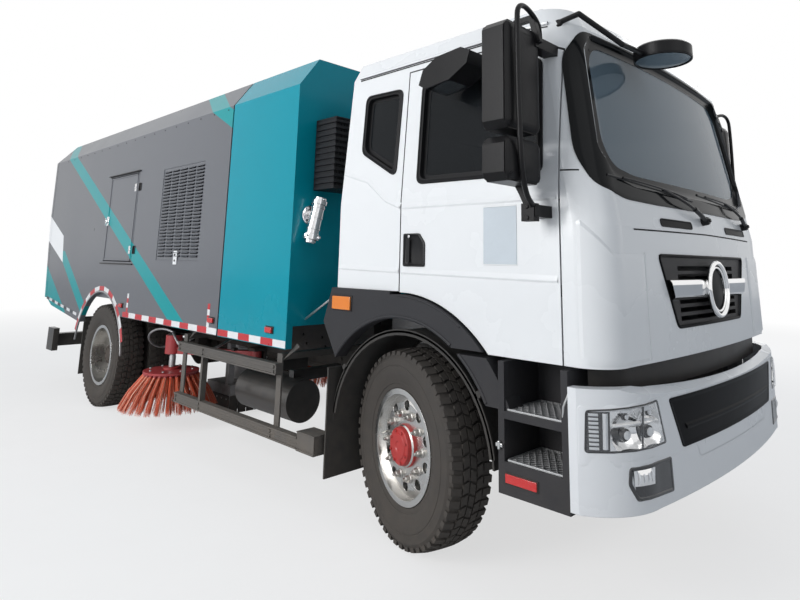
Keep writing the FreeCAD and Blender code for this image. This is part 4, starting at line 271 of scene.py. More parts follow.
# ---- Axles, engine and tanks -------------------------------------------------
# Cast and forged iron left rough, a ribbed alloy fuel tank on steel straps on the left,
# and a black air reservoir with its drain cocks on the right.
forged_iron = finish("forged_iron", (0.045, 0.042, 0.04), 0.6, metallic=0.3, patch=0.35, patch_size=9,
                     grain=0.5, grain_size=90, dust=0.7, dust_top=1.3)
dress(forged_iron, "front_axle_beam", "rear_axle", "knuckle_left", "knuckle_right")
cast_grey = finish("cast_grey", (0.11, 0.11, 0.115), 0.5, metallic=0.6, patch=0.25, patch_size=7, grain=0.5,
                   dust=0.4)
dress(cast_grey, "engine_block", "sweeper_engine")
core_alloy = finish("radiator_core", (0.16, 0.165, 0.17), 0.45, metallic=0.8, patch=0.2, grain=0.8,
                    grain_size=220, dust=0.4)
dress(core_alloy, "radiator")
tank_alloy = finish("tank_alloy", (0.46, 0.47, 0.48), 0.32, metallic=1.0, patch=0.12, patch_size=5,
                    grain=0.2, grain_size=160, dust=0.5, dust_top=1.0)
dress(tank_alloy, "fuel_tank")
reservoir_black = finish("reservoir_black", (0.018, 0.018, 0.019), 0.3, coat=0.2, patch=0.3, dust=0.5,
                         dust_top=1.0)
dress(reservoir_black, "air_tank")

# ---- Tyres -------------------------------------------------------------------
# Six steel-belted truck tyres: a smooth ribbed sidewall, a deep block tread in five
# rows and open shoulder lugs, of brown-black rubber with dust in the tread.
def rubber(name, colour, dust):
    return finish(name, colour, 0.72, patch=0.2, patch_size=8, grain=0.25, grain_size=120, dust=dust,
                  dust_top=1.5, edge=0.002)


tyre_rubber = rubber("tyre_rubber", (0.03, 0.0265, 0.024), 0.28)
TYRE_SIDE = [(0.109, 0.286), (0.109, 0.303), (0.116, 0.308), (0.121, 0.330), (0.1255, 0.333),
             (0.1275, 0.345), (0.1285, 0.347), (0.137, 0.378), (0.1395, 0.400), (0.1380, 0.424),
             (0.1355, 0.426), (0.1355, 0.431), (0.1375, 0.433), (0.1340, 0.455), (0.1330, 0.470),
             (0.1230, 0.486), (0.1140, 0.5010), (0.0900, 0.5055), (0.0400, 0.5085)]
TREAD_STEPS = 52
# Each row of blocks: inner and outer y, radius at each, share of the pitch, lead of the row, slant.
TREAD_ROWS = [(-0.017, 0.017, 0.5195, 0.5195, 0.80, 0.0, 0.28),
              (0.025, 0.060, 0.5195, 0.5185, 0.78, 0.42, -0.22),
              (-0.060, -0.025, 0.5185, 0.5195, 0.78, 0.58, -0.22),
              (0.069, 0.127, 0.5180, 0.5080, 0.58, 0.15, 0.10),
              (-0.127, -0.069, 0.5080, 0.5180, 0.58, 0.65, 0.10)]


def at_axle(angle, radius, y=0.0):
    """A place round a wheel's axle, turned from the top."""
    return Vector((radius * math.sin(angle), y, radius * math.cos(angle)))


def spun(mesh, section, steps):
    """Turns a section of (y, radius) points about the wheel's axle."""
    rows = [[mesh.verts.new(at_axle(angle, radius, y)) for y, radius in section] for angle in angles(steps)]
    joined(mesh, [*rows, rows[0]], closed=False)


def tyre(mesh, middle):
    """Carcass and tread blocks of one tyre, centred on the axle at y = middle."""
    section = [(middle - y, radius) for y, radius in TYRE_SIDE] + [(middle, 0.509)]
    section += [(middle + y, radius) for y, radius in TYRE_SIDE[::-1]]
    spun(mesh, section, 96)
    pitch = 2 * math.pi / TREAD_STEPS
    for block in range(TREAD_STEPS):
        for near, far, r_near, r_far, share, lead, slant in TREAD_ROWS:
            start = (block + lead) * pitch
            corners = []
            for y, top, shift in ((near, r_near, 0.0), (far, r_far, slant)):
                foot = top - (0.024 if abs(y) > 0.1 else 0.014)
                corners += [mesh.verts.new(at_axle(start + (shift + part) * pitch, radius, middle + y))
                            for part in (0.0, share) for radius in (foot, top)]
            a, b, c, d, e, f, g, h = corners
            for loop in ((b, d, h, f), (a, c, d, b), (e, f, h, g), (a, b, f, e), (c, g, h, d)):
                mesh.faces.new(loop)


# The front wheels stand turned to the right about kingpins, each on the end of its stub.
FRONT_AXLE, REAR_AXLE, AXLE_UP = 2.70, -1.80, 0.52
KINGPIN, STUB, STEER = 0.83, 0.15, math.radians(-13.4)
# Wheels: body, end of the tyre's and rim's names, centre, turn about Z, whether it is a pair.
WHEELS = []
for side, sign, turn in (("left", 1, STEER), ("right", -1, STEER + math.pi)):
    centre = (FRONT_AXLE - STUB * math.sin(turn), sign * KINGPIN + STUB * math.cos(turn), AXLE_UP)
    WHEELS.append((f"wheel_front_{side}", f"_front_{side}", centre, turn, False))
for side, sign, turn in (("left", 1, 0.0), ("right", -1, math.pi)):
    WHEELS.append((f"wheels_rear_{side}", f"s_rear_{side}", (REAR_AXLE, sign * 1.09, AXLE_UP), turn, True))


def on_hub(mesh, centre, turn):
    """Puts a wheel piece, drawn with its outside to +Y, on its hub."""
    bmesh.ops.transform(mesh, matrix=Matrix.Translation(centre) @ Matrix.Rotation(turn, 4, "Z"),
                        verts=mesh.verts)


for body, node, centre, turn, twin in WHEELS:
    tread = bmesh.new()
    for middle in (0.0, -0.315) if twin else (0.0,):
        tyre(tread, middle)
    on_hub(tread, centre, turn)
    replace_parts(fit(body + "_tread", tread, body, tyre_rubber, crease=28), "tyre" + node)

# ---- Disc wheels -------------------------------------------------------------
# Forged alloy discs, polished and a little dusty, with ten nuts on a 335 mm circle,
# a red hub cap with its ring of bolts in front, and a rubber valve hose.
wheel_alloy = finish("wheel_alloy", (0.74, 0.73, 0.71), 0.2, metallic=1.0, patch=0.1, patch_size=11,
                     grain=0.08, grain_size=200, dust=0.25, dust_top=1.0, edge=0.003)
nut_steel = finish("nut_steel", (0.5, 0.49, 0.47), 0.3, metallic=1.0, patch=0.25, patch_size=30, grain=0.2,
                   dust=0.3)
hub_red = finish("hub_red", (0.42, 0.018, 0.016), 0.4, coat=0.2, patch=0.2, patch_size=20, grain=0.15,
                 dust=0.15)
drum_iron = finish("drum_iron", (0.06, 0.05, 0.045), 0.7, metallic=0.4, patch=0.35, patch_size=12,
                   grain=0.5, dust=0.6)
OUTWARDS = (0, 1, 0)
# Hub caps of a rear pair and of a front wheel: the finish and the profile, then the ring
# of bolts as its reach, place, first turn, radius and height.
REAR_CAP = (drum_iron, [(-0.088, 0.113), (-0.02, 0.1125), (0.012, 0.1115), (0.043, 0.084), (0.046, 0.06),
                        (0.043, 0.0)],
            (0.068, 0.045, 0, 0.009, 0.008))
FRONT_CAP = (hub_red, [(0.084, 0.113), (0.098, 0.1125), (0.106, 0.104), (0.130, 0.098), (0.134, 0.094),
                       (0.134, 0.070),
                       (0.139, 0.066), (0.139, 0.030), (0.134, 0.024), (0.134, 0.0)],
             (0.083, 0.134, 20, 0.008, 0.009))
for body, node, centre, turn, twin in WHEELS:
    dress(wheel_alloy, "rim" + node)
    colour, profile, (reach, out, first, radius, height) = REAR_CAP if twin else FRONT_CAP
    face = profile[0][0]
    nuts, cap, valve = bmesh.new(), bmesh.new(), bmesh.new()
    for angle in angles(10, 18):
        for wide, tall, sides in ((0.024, 0.008, 16), (0.0185, 0.034, 6), (0.010, 0.052, 10)):
            bolt(nuts, at_axle(angle, 0.1675, face), OUTWARDS, wide, tall, sides)
    spun(cap, profile, 40)
    for angle in angles(8, first):
        bolt(cap, at_axle(angle, reach, out), OUTWARDS, radius, height)
    for k in range(6):
        bolt(valve, (0.245 - 0.006 * k, face - 0.02 + 0.01 * k, 0.02), (-0.5, 0.85, 0), 0.006, 0.014,
             sides=8)
    for mesh in (nuts, cap, valve):
        on_hub(mesh, centre, turn)
    fit(body + "_nuts", nuts, body, nut_steel)
    fit(body + "_hub_cap", cap, body, colour, crease=30)
    fit(body + "_valve", valve, body, nut_steel)

# ---- Mudguards and flaps -----------------------------------------------------
# Pressed rubber and plastic sheets over the wheels, each with a rolled edge, and
# hanging flaps whose lower edges are scuffed and dusty.
guard_rubber = rubber("mud_rubber", (0.022, 0.022, 0.022), 0.4)
dress(guard_rubber, "mudguards")
FRONT_WHEEL = (FRONT_AXLE, AXLE_UP)


def swung(centre, radius, angle, y=0.0):
    """A place at a radius from a centre in side view, swung up from straight ahead."""
    return Vector((centre[0] + radius * math.cos(angle), y, centre[1] + radius * math.sin(angle)))


trim = bmesh.new()
for side in (1, -1):
    for k in range(22):
        for y in (0.655, 1.135):
            rows = [[trim.verts.new(swung(FRONT_WHEEL, radius, angle, side * (y + across)))
                     for radius, across in ((0.606, -0.012), (0.640, -0.012), (0.640, 0.005),
                                            (0.606, 0.005))]
                    for angle in (math.radians(8 + 7.45 * (k + end)) for end in (0, 1))]
            joined(trim, rows)
    slab(trim, (2.062, side * 0.66, 0.245), (2.058, side * 1.13, 0.262))
    for x, low, high in ((2.062, 0.30, 0.56), (-2.478, 0.30, 0.80)):
        for rib in range(5):
            y = 0.72 + 0.09 * rib
            start, end = (0.002, 0.012) if x > 0 else (-0.012, 0.002)
            slab(trim, (x + start, side * y, low), (x + end, side * (y + 0.02), high))
fit("mudguard_beading", trim, "chassis", guard_rubber, bevel=0.003)

# ---- Side guards -------------------------------------------------------------
# Rolled steel channels, brown with dust, bolted to posts that hang from the frame,
# with short diagonal stays at the post heads.
guard_steel = finish("guard_steel", (0.07, 0.066, 0.062), 0.45, patch=0.25, patch_size=6, grain=0.3,
                     dust=0.75, dust_top=1.2)
dress(guard_steel, "side_guards")
rails = bmesh.new()
for side in (1, -1):
    for low, start, end in ((0.365, 0.08, 1.85), (0.770, 0.08, 1.57)):
        for z in (low, low + 0.063):
            slab(rails, (start, side * 1.2385, z), (end, side * 1.2465, z + 0.012))
        slab(rails, (start, side * 1.2385, low + 0.031), (end, side * 1.2425, low + 0.040))
        for x in (0.11, 0.515, 1.54):
            for z in (low + 0.022, low + 0.052):
                bolt(rails, (x, side * 1.2400, z), (0, side, 0), 0.011, 0.009)
    for x in (0.11, 1.54):
        stay = [(x + 0.02, 0.865), (x + 0.06, 0.885), (x + 0.20, 0.965), (x + 0.17, 0.985)]
        joined(rails, [[rails.verts.new((along, side * y, up)) for along, up in stay]
                       for y in (1.17, 1.18)], capped=True)
    for low, high in ((0.36, 0.372), (0.468, 0.476)):
        slab(rails, (1.85, side * 1.11, low), (2.035, side * 1.2465, high))
fit("side_guard_ribs", rails, "chassis", guard_steel, bevel=0.002)

# ---- Rear underrun bar and tail lamps ----------------------------------------
# A square black tube with moulded end caps, and lamp clusters of red, amber and
# clear lenses over moulded prisms.
dress(reservoir_black, "rear_bumper")
lens_red, lens_amber = [finish(name, colour, 0.12, coat=1.0, patch=0.05, grain=0.3, grain_size=260,
                               edge=0.002)
                        for name, colour in (("lens_red", (0.55, 0.012, 0.01)),
                                             ("lens_amber", (0.75, 0.2, 0.01)))]
lens_clear = finish("lens_clear", (0.75, 0.76, 0.77), 0.1, metallic=0.7, coat=1.0, patch=0.1, grain=0.4,
                    grain_size=200, edge=0.002)
dress(lens_red, "tail_lamps")
clusters = bmesh.new()
for side in (1, -1):
    for start, end, index in ((0.705, 0.82, 1), (0.825, 0.945, 0), (0.95, 1.075, 2)):
        for row in range(6):
            for column in range(7):
                y = start + (end - start) * (column + 0.5) / 7
                bolt(clusters, (-3.72, side * y, 0.452 + 0.0165 * row), (-1, 0, 0), 0.0078, 0.007, sides=4,
                     index=index)
    for low, high in (((-3.717, 0.70, 0.436), (-3.725, 1.08, 0.444)),
                      ((-3.717, 0.70, 0.546), (-3.725, 1.08, 0.554)),
                      ((-3.763, 1.14, 0.385), (-3.757, 1.185, 0.625))):
        slab(clusters, (low[0], side * low[1], low[2]), (high[0], side * high[1], high[2]), 3)
fit("tail_lamp_prisms", clusters, "chassis", [lens_red, lens_clear, lens_amber, reservoir_black])

# ---- Rear arch liners --------------------------------------------------------
# A folded black sheet behind each rear pair of wheels, screwed to the rail, that keeps
# spray off the hopper's floor.
LINER = [(-1.15, 0.90), (-1.15, 1.085), (-2.45, 1.085), (-2.45, 0.90), (-2.30, 0.97), (-1.80, 1.045),
         (-1.30, 0.97)]
liners = bmesh.new()
for side in (1, -1):
    joined(liners, [[liners.verts.new((x, side * y, z)) for x, z in LINER] for y in (0.580, 0.592)],
           capped=True)
fit("rear_arch_liners", liners, "chassis", chassis_black)

# ---- Hopper paint and panels -------------------------------------------------
# Welded sheet steel in grey, with a teal band that falls forward on each side, a
# shorter one at the front of the roof, and a white patch and teal corners at the rear.
def banded(made, bands):
    """Lays flat areas of other colours over a paint. Each is bounded in side view by its
    limits (a, b, c): inside is where a * x + b * z < c for them all."""
    tree = made.node_tree
    base = tree.nodes["Principled BSDF"].inputs["Base Color"]
    place = shade(tree, "SeparateXYZ", None, {"Vector": shade(tree, "TexCoord", "Object")}).outputs
    for colour, limits in bands:
        inside = 1.0
        for a, b, c in limits:
            level = maths(tree, "MULTIPLY_ADD", place["Z"], b, maths(tree, "MULTIPLY", place["X"], a))
            inside = maths(tree, "MULTIPLY", inside, maths(tree, "LESS_THAN", level, c))
        tree.links.new(mixed(tree, inside, base.links[0].from_socket, colour), base)
    return made


TEAL = (0.003, 0.27, 0.285)
BANDS = [(TEAL, [(1, 1.906, 2.069), (-1, -1.906, -1.749)]),
         (TEAL, [(1, 1.906, 5.988), (-1, -1.906, -5.688)]),
         (TEAL, [(1, 1.59, -0.745), (-1, -1.59, 1.005), (0, 1, 1.60)]),
         (TEAL, [(0.5556, 1, -0.787), (1, 0, -3.0)]),
         ((0.80, 0.81, 0.82), [(0.418, 1, 0.360), (-0.387, -1, -0.171), (1, 0.273, -2.931)])]
hopper_grey = finish("hopper_paint", (0.130, 0.136, 0.150), 0.3, coat=0.05, mirror=0.2, patch=0.05,
                     patch_size=1.5, grain=0.05, grain_size=9, dust=0.3, dust_top=1.5)
hopper_paint = banded(hopper_grey, BANDS)
dress(hopper_paint, "hopper_shell", "louvre_panels", "hatch_left", "hatch_right", "tailgate")
trim_black = finish("trim_black", (0.014, 0.014, 0.015), 0.35, mirror=0.2, patch=0.25, grain=0.2,
                    grain_size=150, dust=0.35)
latch_chrome = finish("latch_chrome", (0.72, 0.72, 0.73), 0.18, metallic=1.0, patch=0.1, patch_size=20,
                      grain=0.1)
dull_steel = finish("dull_steel", (0.42, 0.42, 0.43), 0.4, metallic=0.9, patch=0.2, patch_size=14,
                    grain=0.3, dust=0.3)
label_white = finish("label_white", (0.72, 0.73, 0.74), 0.5, patch=0.04, grain=0.1)

SIDES = (("left", 1), ("right", -1))
for side, sign in SIDES:
    wall = sign * 1.2505

    def out(height):
        return wall + sign * height

    hatch, latch, lips, hoods, hasp, studs = [bmesh.new() for _ in range(6)]
    # Hatch furniture: raised rim, drip lip, cam latch with its keeper.
    for low, high in (((-1.905, 1.500), (-1.885, 2.390)), ((-1.168, 1.500), (-1.153, 2.390)),
                      ((-1.905, 1.500), (-1.153, 1.515)), ((-1.905, 2.375), (-1.153, 2.390))):
        slab(hatch, (low[0], out(-0.002), low[1]), (high[0], out(0.005), high[1]))
    fit(f"hatch_{side}_rim", hatch, f"hatch_{side}", hopper_paint, bevel=0.002)
    slab(latch, (-1.90, wall, 1.87), (-1.84, out(0.012), 1.97))
    bolt(latch, (-1.87, out(0.010), 1.92), (0, sign, 0), 0.020, 0.016, sides=16)
    slab(latch, (-1.876, out(0.020), 1.872), (-1.864, out(0.034), 1.952))
    for z in (1.600, 2.236):
        slab(latch, (-1.215, wall, z - 0.03), (-1.155, out(0.0045), z + 0.05))
        for x in (-1.200, -1.170):
            bolt(latch, (x, out(0.004), z + 0.01), (0, sign, 0), 0.007, 0.005)
        for x in (-1.114, -1.100):
            slab(lips, (x, out(-0.001), z - 0.03), (x + 0.05, out(0.006), z + 0.05))
    fit(f"hatch_{side}_latch", latch, f"hatch_{side}", latch_chrome, bevel=0.002)
    for start, end, low, high, reach in ((-1.95, -1.09, 2.412, 2.420, 0.022),
                                         (-1.95, -1.09, 2.405, 2.420, 0.004),
                                         (-1.97, -1.08, 1.462, 1.474, 0.014)):
        slab(lips, (start, out(-0.001), low), (end, out(reach), high))
    fit(f"hatch_{side}_lips", lips, "hopper", trim_black, bevel=0.001)
    # Louvre panel: a folded hood over every slot, four uprights and a hasp.
    pitch, bay = 0.811 / 27, 0.1656
    for row in range(27):
        z = 1.537 + (row + 0.75) * pitch
        for column in range(5):
            x = -0.508 + column * bay + (0.0 if column else 0.002)
            joined(hoods, [[hoods.verts.new((end, out(reach), z + up))
                            for reach, up in ((-0.006, 0.0), (-0.006, 0.006), (0.010, -0.007),
                                              (0.008, -0.009))]
                           for end in (x + 0.004, x + bay - 0.026)], capped=True)
    fit(f"louvre_{side}_hoods", hoods, "hopper", hopper_paint)
    slab(hasp, (-0.150, wall, 1.480), (-0.080, out(0.006), 1.600))
    fit(f"louvre_{side}_hasp", hasp, "hopper", label_white, bevel=0.002)
    for z in (1.515, 1.565):
        bolt(studs, (-0.115, out(0.005), z), (0, sign, 0), 0.010, 0.006, sides=12)
    for k in range(18):
        bolt(studs, (-3.6 + 0.25 * k, out(-0.001), 2.765), (0, sign, 0), 0.006, 0.004, sides=8)
    fit(f"louvre_{side}_studs", studs, "hopper", trim_black)

# ---- Reflective tape, arch trim and marker lamps -----------------------------
# Red and white foil squares along the lower edges and over the rear arches, dark and
# white ones under the rear overhang, a bright bead round each arch, red marker lamps.
TAPES = [finish(name, colour, 0.3, coat=0.3, patch=patch, patch_size=30, grain=0.15, grain_size=size)
         for name, colour, patch, size in (("tape_red", (0.50, 0.016, 0.022), 0.1, 300),
                                           ("tape_white", (0.74, 0.74, 0.74), 0.08, 300),
                                           ("tape_dark", (0.02, 0.03, 0.035), 0.1, 60))]


def foil_square(mesh, corners, sign, index):
    """A thin square of foil on a side, its corners given in side view."""
    back, front = [[mesh.verts.new((x, sign * 1.2501 * scale, z)) for x, z in corners]
                   for scale in (1.0, 1.0008)]
    mesh.faces.new(front).material_index = index
    joined(mesh, [back, front], index)


def oblong(x, z, length, height):
    """Corners of a rectangle, from its lower rear one."""
    return [(x, z), (x + length, z), (x + length, z + height), (x, z + height)]


REAR_ARCH = (-1.85, 0.46)
# Body, start and end of its lower edge, slot of its paint, middles of its marker lamps.
EDGES = (("hopper", -1.20, 0.728, "hopper_paint", (-1.25, 0.64)),
         ("chassis", 0.752, 1.678, "teal_paint", (1.48,)))
for body, start, end, paint, _ in EDGES:
    foil = bmesh.new()
    count = round((end - start) / 0.155)
    length = (end - start) / count
    for sign in (1, -1):
        for k in range(count):
            foil_square(foil, oblong(start + k * length, 0.955, length, 0.048), sign, k % 2)
        if body == "hopper":
            for k in range(4):
                foil_square(foil, oblong(0.56, 1.003 + 0.045 * k, 0.04, 0.045), sign, (k + 1) % 2)
                foil_square(foil, oblong(-1.12, 1.003 + 0.045 * k, 0.04, 0.045), sign, k % 2)
            for k in range(13):
                first, last = [math.radians(20 + 10.8 * (k + share)) for share in (0, 0.98)]
                corners = ((first, 0.768), (last, 0.768), (last, 0.722), (first, 0.722))
                foil_square(foil, [swung(REAR_ARCH, radius, angle).xz for angle, radius in corners], sign,
                            k % 2)
            for k in range(10):
                back, fore = [(-2.58 - 0.122 * spot, 0.866 + 0.0128 * spot) for spot in (k, k + 1)]
                foil_square(foil, [back, fore, (fore[0], fore[1] + 0.032), (back[0], back[1] + 0.032)],
                            sign, 1 + k % 2)
    fit(f"{body}_foil", foil, body, TAPES)
bead = bmesh.new()
for sign in (1, -1):
    turns = [math.radians(10 + 158 * k / 48) for k in range(49)]
    joined(bead, [[bead.verts.new(swung(REAR_ARCH, radius, angle, sign * y))
                   for radius, y in ((0.701, 1.238), (0.701, 1.256), (0.715, 1.256), (0.715, 1.238))]
                  for angle in turns], capped=True)
fit("arch_bead", bead, "hopper", dull_steel, bevel=0.003)
for body, _, _, paint, spots in EDGES:
    lamps = bmesh.new()
    for sign in (1, -1):
        for x in spots:
            slab(lamps, (x - 0.05, sign * 1.2505, 1.035), (x + 0.05, sign * 1.256, 1.085), 1)
            slab(lamps, (x - 0.04, sign * 1.256, 1.042), (x + 0.04, sign * 1.270, 1.078))
    fit(f"{body}_marker_lamps", lamps, body, [lens_red, trim_black], bevel=0.004)

# ---- Tailgate and tipping gear -----------------------------------------------
# The tailgate has pressed ribs, a rubber seal, hooks at its foot and round lamps above;
# the rams under the body are black barrels with hard chrome rods.
ribs = bmesh.new()
for y in (-0.9, -0.45, 0.0, 0.45, 0.9):
    for foot, head, proud in (((-3.907, 1.10), (-4.064, 1.90), -0.016),
                              ((-4.071, 1.98), (-4.096, 2.70), -0.003)):
        rows = [[ribs.verts.new((x + rise, y + across, z)) for rise, across in
                 ((0.004, -0.035), (proud, -0.022), (proud, 0.022), (0.004, 0.035))]
                for x, z in (foot, head)]
        joined(ribs, rows, closed=False, capped=True)
for z, x in ((1.04, -3.898), (1.935, -4.071)):
    slab(ribs, (x - 0.012, -1.20, z - 0.02), (x + 0.004, 1.20, z + 0.02))
fit("tailgate_ribs", ribs, "tailgate", hopper_paint, bevel=0.003)
gear = bmesh.new()
for sign in (1, -1):
    for z, x in ((1.16, -3.925), (1.42, -3.976)):
        slab(gear, (x - 0.03, sign * 1.08, z - 0.05), (x + 0.01, sign * 1.16, z + 0.05), 0)
        bolt(gear, (x - 0.03, sign * 1.12, z), (-1, 0, 0), 0.018, 0.014, sides=12)
    for z, index in ((2.58, 1), (2.48, 2)):
        bolt(gear, (-4.086, sign * 1.12, z), (-1, 0, 0.02), 0.042, 0.010, sides=24)
        bolt(gear, (-4.090, sign * 1.12, z), (-1, 0, 0.02), 0.034, 0.008, sides=24, index=index)
slab(gear, (-3.93, -0.30, 1.30), (-3.985, 0.30, 1.40), 3)
fit("tailgate_gear", gear, "tailgate", [trim_black, lens_red, lens_amber, label_white],
    bevel=0.003)
rod_chrome = finish("rod_chrome", (0.78, 0.78, 0.79), 0.08, metallic=1.0, patch=0.05, grain=0.05,
                    grain_size=300)
dress(reservoir_black, "ram_barrels")
dress(rod_chrome, "ram_rods")

# ---- Front housing, water filler and air intake -------------------------------
# Plain teal cabinet that holds the sweeper's engine, a bright hydrant filler on a
# bolted flange at its front corner, and a ribbed black intake beside it.
teal_paint = finish("teal_paint", (0.0, 0.255, 0.33), 0.24, coat=0.05, mirror=0.16, patch=0.05,
                    patch_size=1.2, grain=0.04, grain_size=8, dust=0.25, dust_top=1.4)
dress(teal_paint, "front_housing")
filler = bmesh.new()
lean = math.radians(13)
down = Vector((0, -math.sin(lean), -math.cos(lean)))
heart = Vector((1.765, -1.11, 1.85))
for angle in angles(6, 30):
    bolt(filler, (1.697, -1.11 + 0.056 * math.sin(angle), 1.85 + 0.056 * math.cos(angle)), (1, 0, 0), 0.007,
         0.008)
for angle in angles(4, 20):
    out = Vector((math.cos(angle), math.sin(angle) * math.cos(lean), -math.sin(angle) * math.sin(lean)))
    bolt(filler, heart + down * 0.160 + out * 0.050, out, 0.012, 0.022, sides=8)
for near, far, radius in ((0.020, 0.032, 0.051), (-0.052, -0.040, 0.051), (0.100, 0.112, 0.051),
                          (0.181, 0.205, 0.038)):
    bolt(filler, heart + down * near, down, radius, far - near, sides=32)
fit("filler_fittings", filler, "chassis", latch_chrome, crease=35)
dress(latch_chrome, "filler_valve")
black_plastic = finish("black_plastic", (0.016, 0.016, 0.018), 0.45, mirror=0.2, patch=0.2, grain=0.4,
                       grain_size=200, dust=0.35)
dress(black_plastic, "air_intake", "bumper_grille", "front_grille")
duct = bmesh.new()
for k in range(9):
    slab(duct, (1.70, -0.84 - 0.0275 * k, 2.045), (1.915, -0.846 - 0.0275 * k, 2.53))
slab(duct, (1.69, -1.09, 2.532), (1.92, -0.83, 2.544))
fit("intake_vanes", duct, "chassis", black_plastic)

# ---- Side brushes and suction nozzle -----------------------------------------
# Red-painted arms and plates with bunches of stiff orange plastic bristles, driven by
# hydraulic motors on braided hoses; the nozzle is plain steel with rubber skirts.
arm_red = finish("arm_red", (0.36, 0.014, 0.02), 0.4, coat=0.2, patch=0.2, patch_size=9, grain=0.2,
                 dust=0.35)
dress(arm_red, "brush_arm_left", "brush_arm_right")
# The pale strands are a painted highlight on the orange bristles.
bristle_orange, bristle_painted_highlight = [
    finish(name, colour, 0.5, patch=patch, patch_size=40, dust=dust, dust_top=0.6, edge=0.0005)
    for name, colour, patch, dust in (("bristle_orange", (0.70, 0.115, 0.045), 0.35, 0.3),
                                      ("bristle_painted_highlight", (0.80, 0.42, 0.30), 0.3, 0.2))]


def hose_line(spots):
    """Points along a hose, read from the soft spline that the given spots pull into shape."""
    curve = bpy.data.curves.new("hose_route", "CURVE")
    curve.dimensions = "3D"
    curve.resolution_u = 16
    spline = curve.splines.new("NURBS")
    spline.points.add(len(spots) - 1)
    for point, spot in zip(spline.points, spots):
        point.co = (*spot, 1)
    spline.order_u = 3
    spline.use_endpoint_u = True
    route = bpy.data.objects.new("hose_route", curve)
    course = bpy.data.meshes.new_from_object(route)
    line = [corner.co.copy() for corner in course.vertices]
    bpy.data.objects.remove(route)
    bpy.data.curves.remove(curve)
    bpy.data.meshes.remove(course)
    return line


def tube(mesh, line, radius, sides=10, index=0):
    """A round bar or hose along a line; radius may be a list, one for each point."""
    line = [Vector(spot) for spot in line]
    radii = radius if isinstance(radius, (list, tuple)) else [radius] * len(line)
    rows, side = [], None
    for spot, before, after, wide in zip(line, [line[0], *line], [*line[1:], line[-1]], radii):
        along = (after - before).normalized()
        side = side or along.orthogonal().normalized()
        side = (side - along * side.dot(along)).normalized()
        other = along.cross(side)
        rows.append([mesh.verts.new(spot + wide * (math.cos(angle) * side + math.sin(angle) * other))
                     for angle in angles(sides)])
    joined(mesh, rows, index, capped=True)


random.seed(7)
# Rows of bunches: how many, radius at the plate, radius at the tips
BUNCHES = [(30, 0.225, 0.418), (24, 0.160, 0.300)]
UP = Vector((0, 0, 1))
# Hoses from the motor to the frame rail: name and the spots that their line is drawn to.
HOSES = (("rear", [(-0.69, 0.93, 0.822), (-0.80, 1.02, 0.885), (-1.04, 1.07, 0.77), (-1.13, 0.89, 0.62),
                   (-1.00, 0.62, 0.68), (-0.95, 0.440, 0.82)]),
         ("front", [(-0.61, 0.97, 0.822), (-0.44, 1.08, 0.885), (-0.16, 1.09, 0.72), (-0.03, 0.88, 0.72),
                    (-0.13, 0.62, 0.81), (-0.22, 0.440, 0.84)]))
HOSE_DIAMETER = 0.022
for side, sign in SIDES:
    broom, motor = bmesh.new(), bmesh.new()

    def spread_out(angle, reach, up, across=0.0):
        """A place out from the brush's spindle, and a little round it."""
        out = Vector((math.cos(angle), math.sin(angle), 0))
        return Vector((-0.65, sign * 0.95, up)) + out * reach + Vector((-out.y, out.x, 0)) * across

    for count, root, tip in BUNCHES:
        for angle in angles(count):
            for strand in range(40):
                turn, reach = random.uniform(0, 2 * math.pi), math.sqrt(random.random())
                a, b = reach * math.cos(turn), reach * math.sin(turn)
                low = 0.160 + random.uniform(0, 0.03)
                # One strand in seven is pale, as a painted highlight.
                tube(broom, [spread_out(angle, root + 0.012 * a, 0.472, 0.012 * b),
                             spread_out(angle, root * 0.45 + tip * 0.55 + 0.02 * a + 0.012, 0.320,
                                        0.02 * b),
                             spread_out(angle, tip + 0.022 * a + random.uniform(-0.006, 0.003), low,
                                        0.034 * b)],
                     [0.0022, 0.0020, 0.0012], sides=3, index=1 if strand % 7 == 0 else 0)
            bolt(broom, spread_out(angle, root, 0.470),
                 (0.5 * math.cos(angle), 0.5 * math.sin(angle), -0.86), 0.0165, 0.022,
                 sides=10, index=2)
    for low, wide, tall, sides, index in ((0.472, 0.2495, 0.027, 56, 2), (0.498, 0.075, 0.022, 28, 2),
                                          (0.518, 0.030, 0.121, 20, 3)):
        bolt(broom, spread_out(0, 0, low), UP, wide, tall, sides, index)
    for angle in angles(8):
        bolt(broom, spread_out(angle, 0.2, 0.498), UP, 0.011, 0.009, index=3)
    piece = fit(f"brush_{side}_bristles", broom, f"brush_{side}",
                [bristle_orange, bristle_painted_highlight, arm_red, dull_steel],
                crease=50)
    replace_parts(piece, f"brush_{side}")
    bolt(motor, spread_out(0, 0, 0.808), UP, 0.055, 0.020, sides=24)
    slab(motor, (-0.70, sign * 0.92, 0.760), (-0.60, sign * 0.98, 0.822))
    for angle in angles(4, 45):
        bolt(motor, spread_out(angle, 0.055, 0.809), UP, 0.008, 0.010)
    slab(motor, (-0.10, sign * 0.615, 0.698), (-0.04, sign * 0.655, 0.722))
    fit(f"brush_{side}_motor_cap", motor, f"brush_arm_{side}", trim_black, bevel=0.003)
    for name, spots in HOSES:
        line = hose_line([(x, sign * y, z) for x, y, z in spots])
        hose = bmesh.new()
        tube(hose, line, HOSE_DIAMETER / 2, sides=12)
        pipe = shaped(f"brush_{side}_hose_{name}", hose, dull_steel, crease=180)
        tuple(line[0])
        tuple(line[-1])
        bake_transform(pipe)
        length = sum((after - before).length for before, after in zip(line, line[1:]))
        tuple(line[0])
nozzle_steel = finish("nozzle_steel", (0.30, 0.30, 0.31), 0.42, metallic=0.9, patch=0.25, patch_size=6,
                      grain=0.3, dust=0.7, dust_top=1.0)
dress(nozzle_steel, "suction_nozzle")
skirts = bmesh.new()
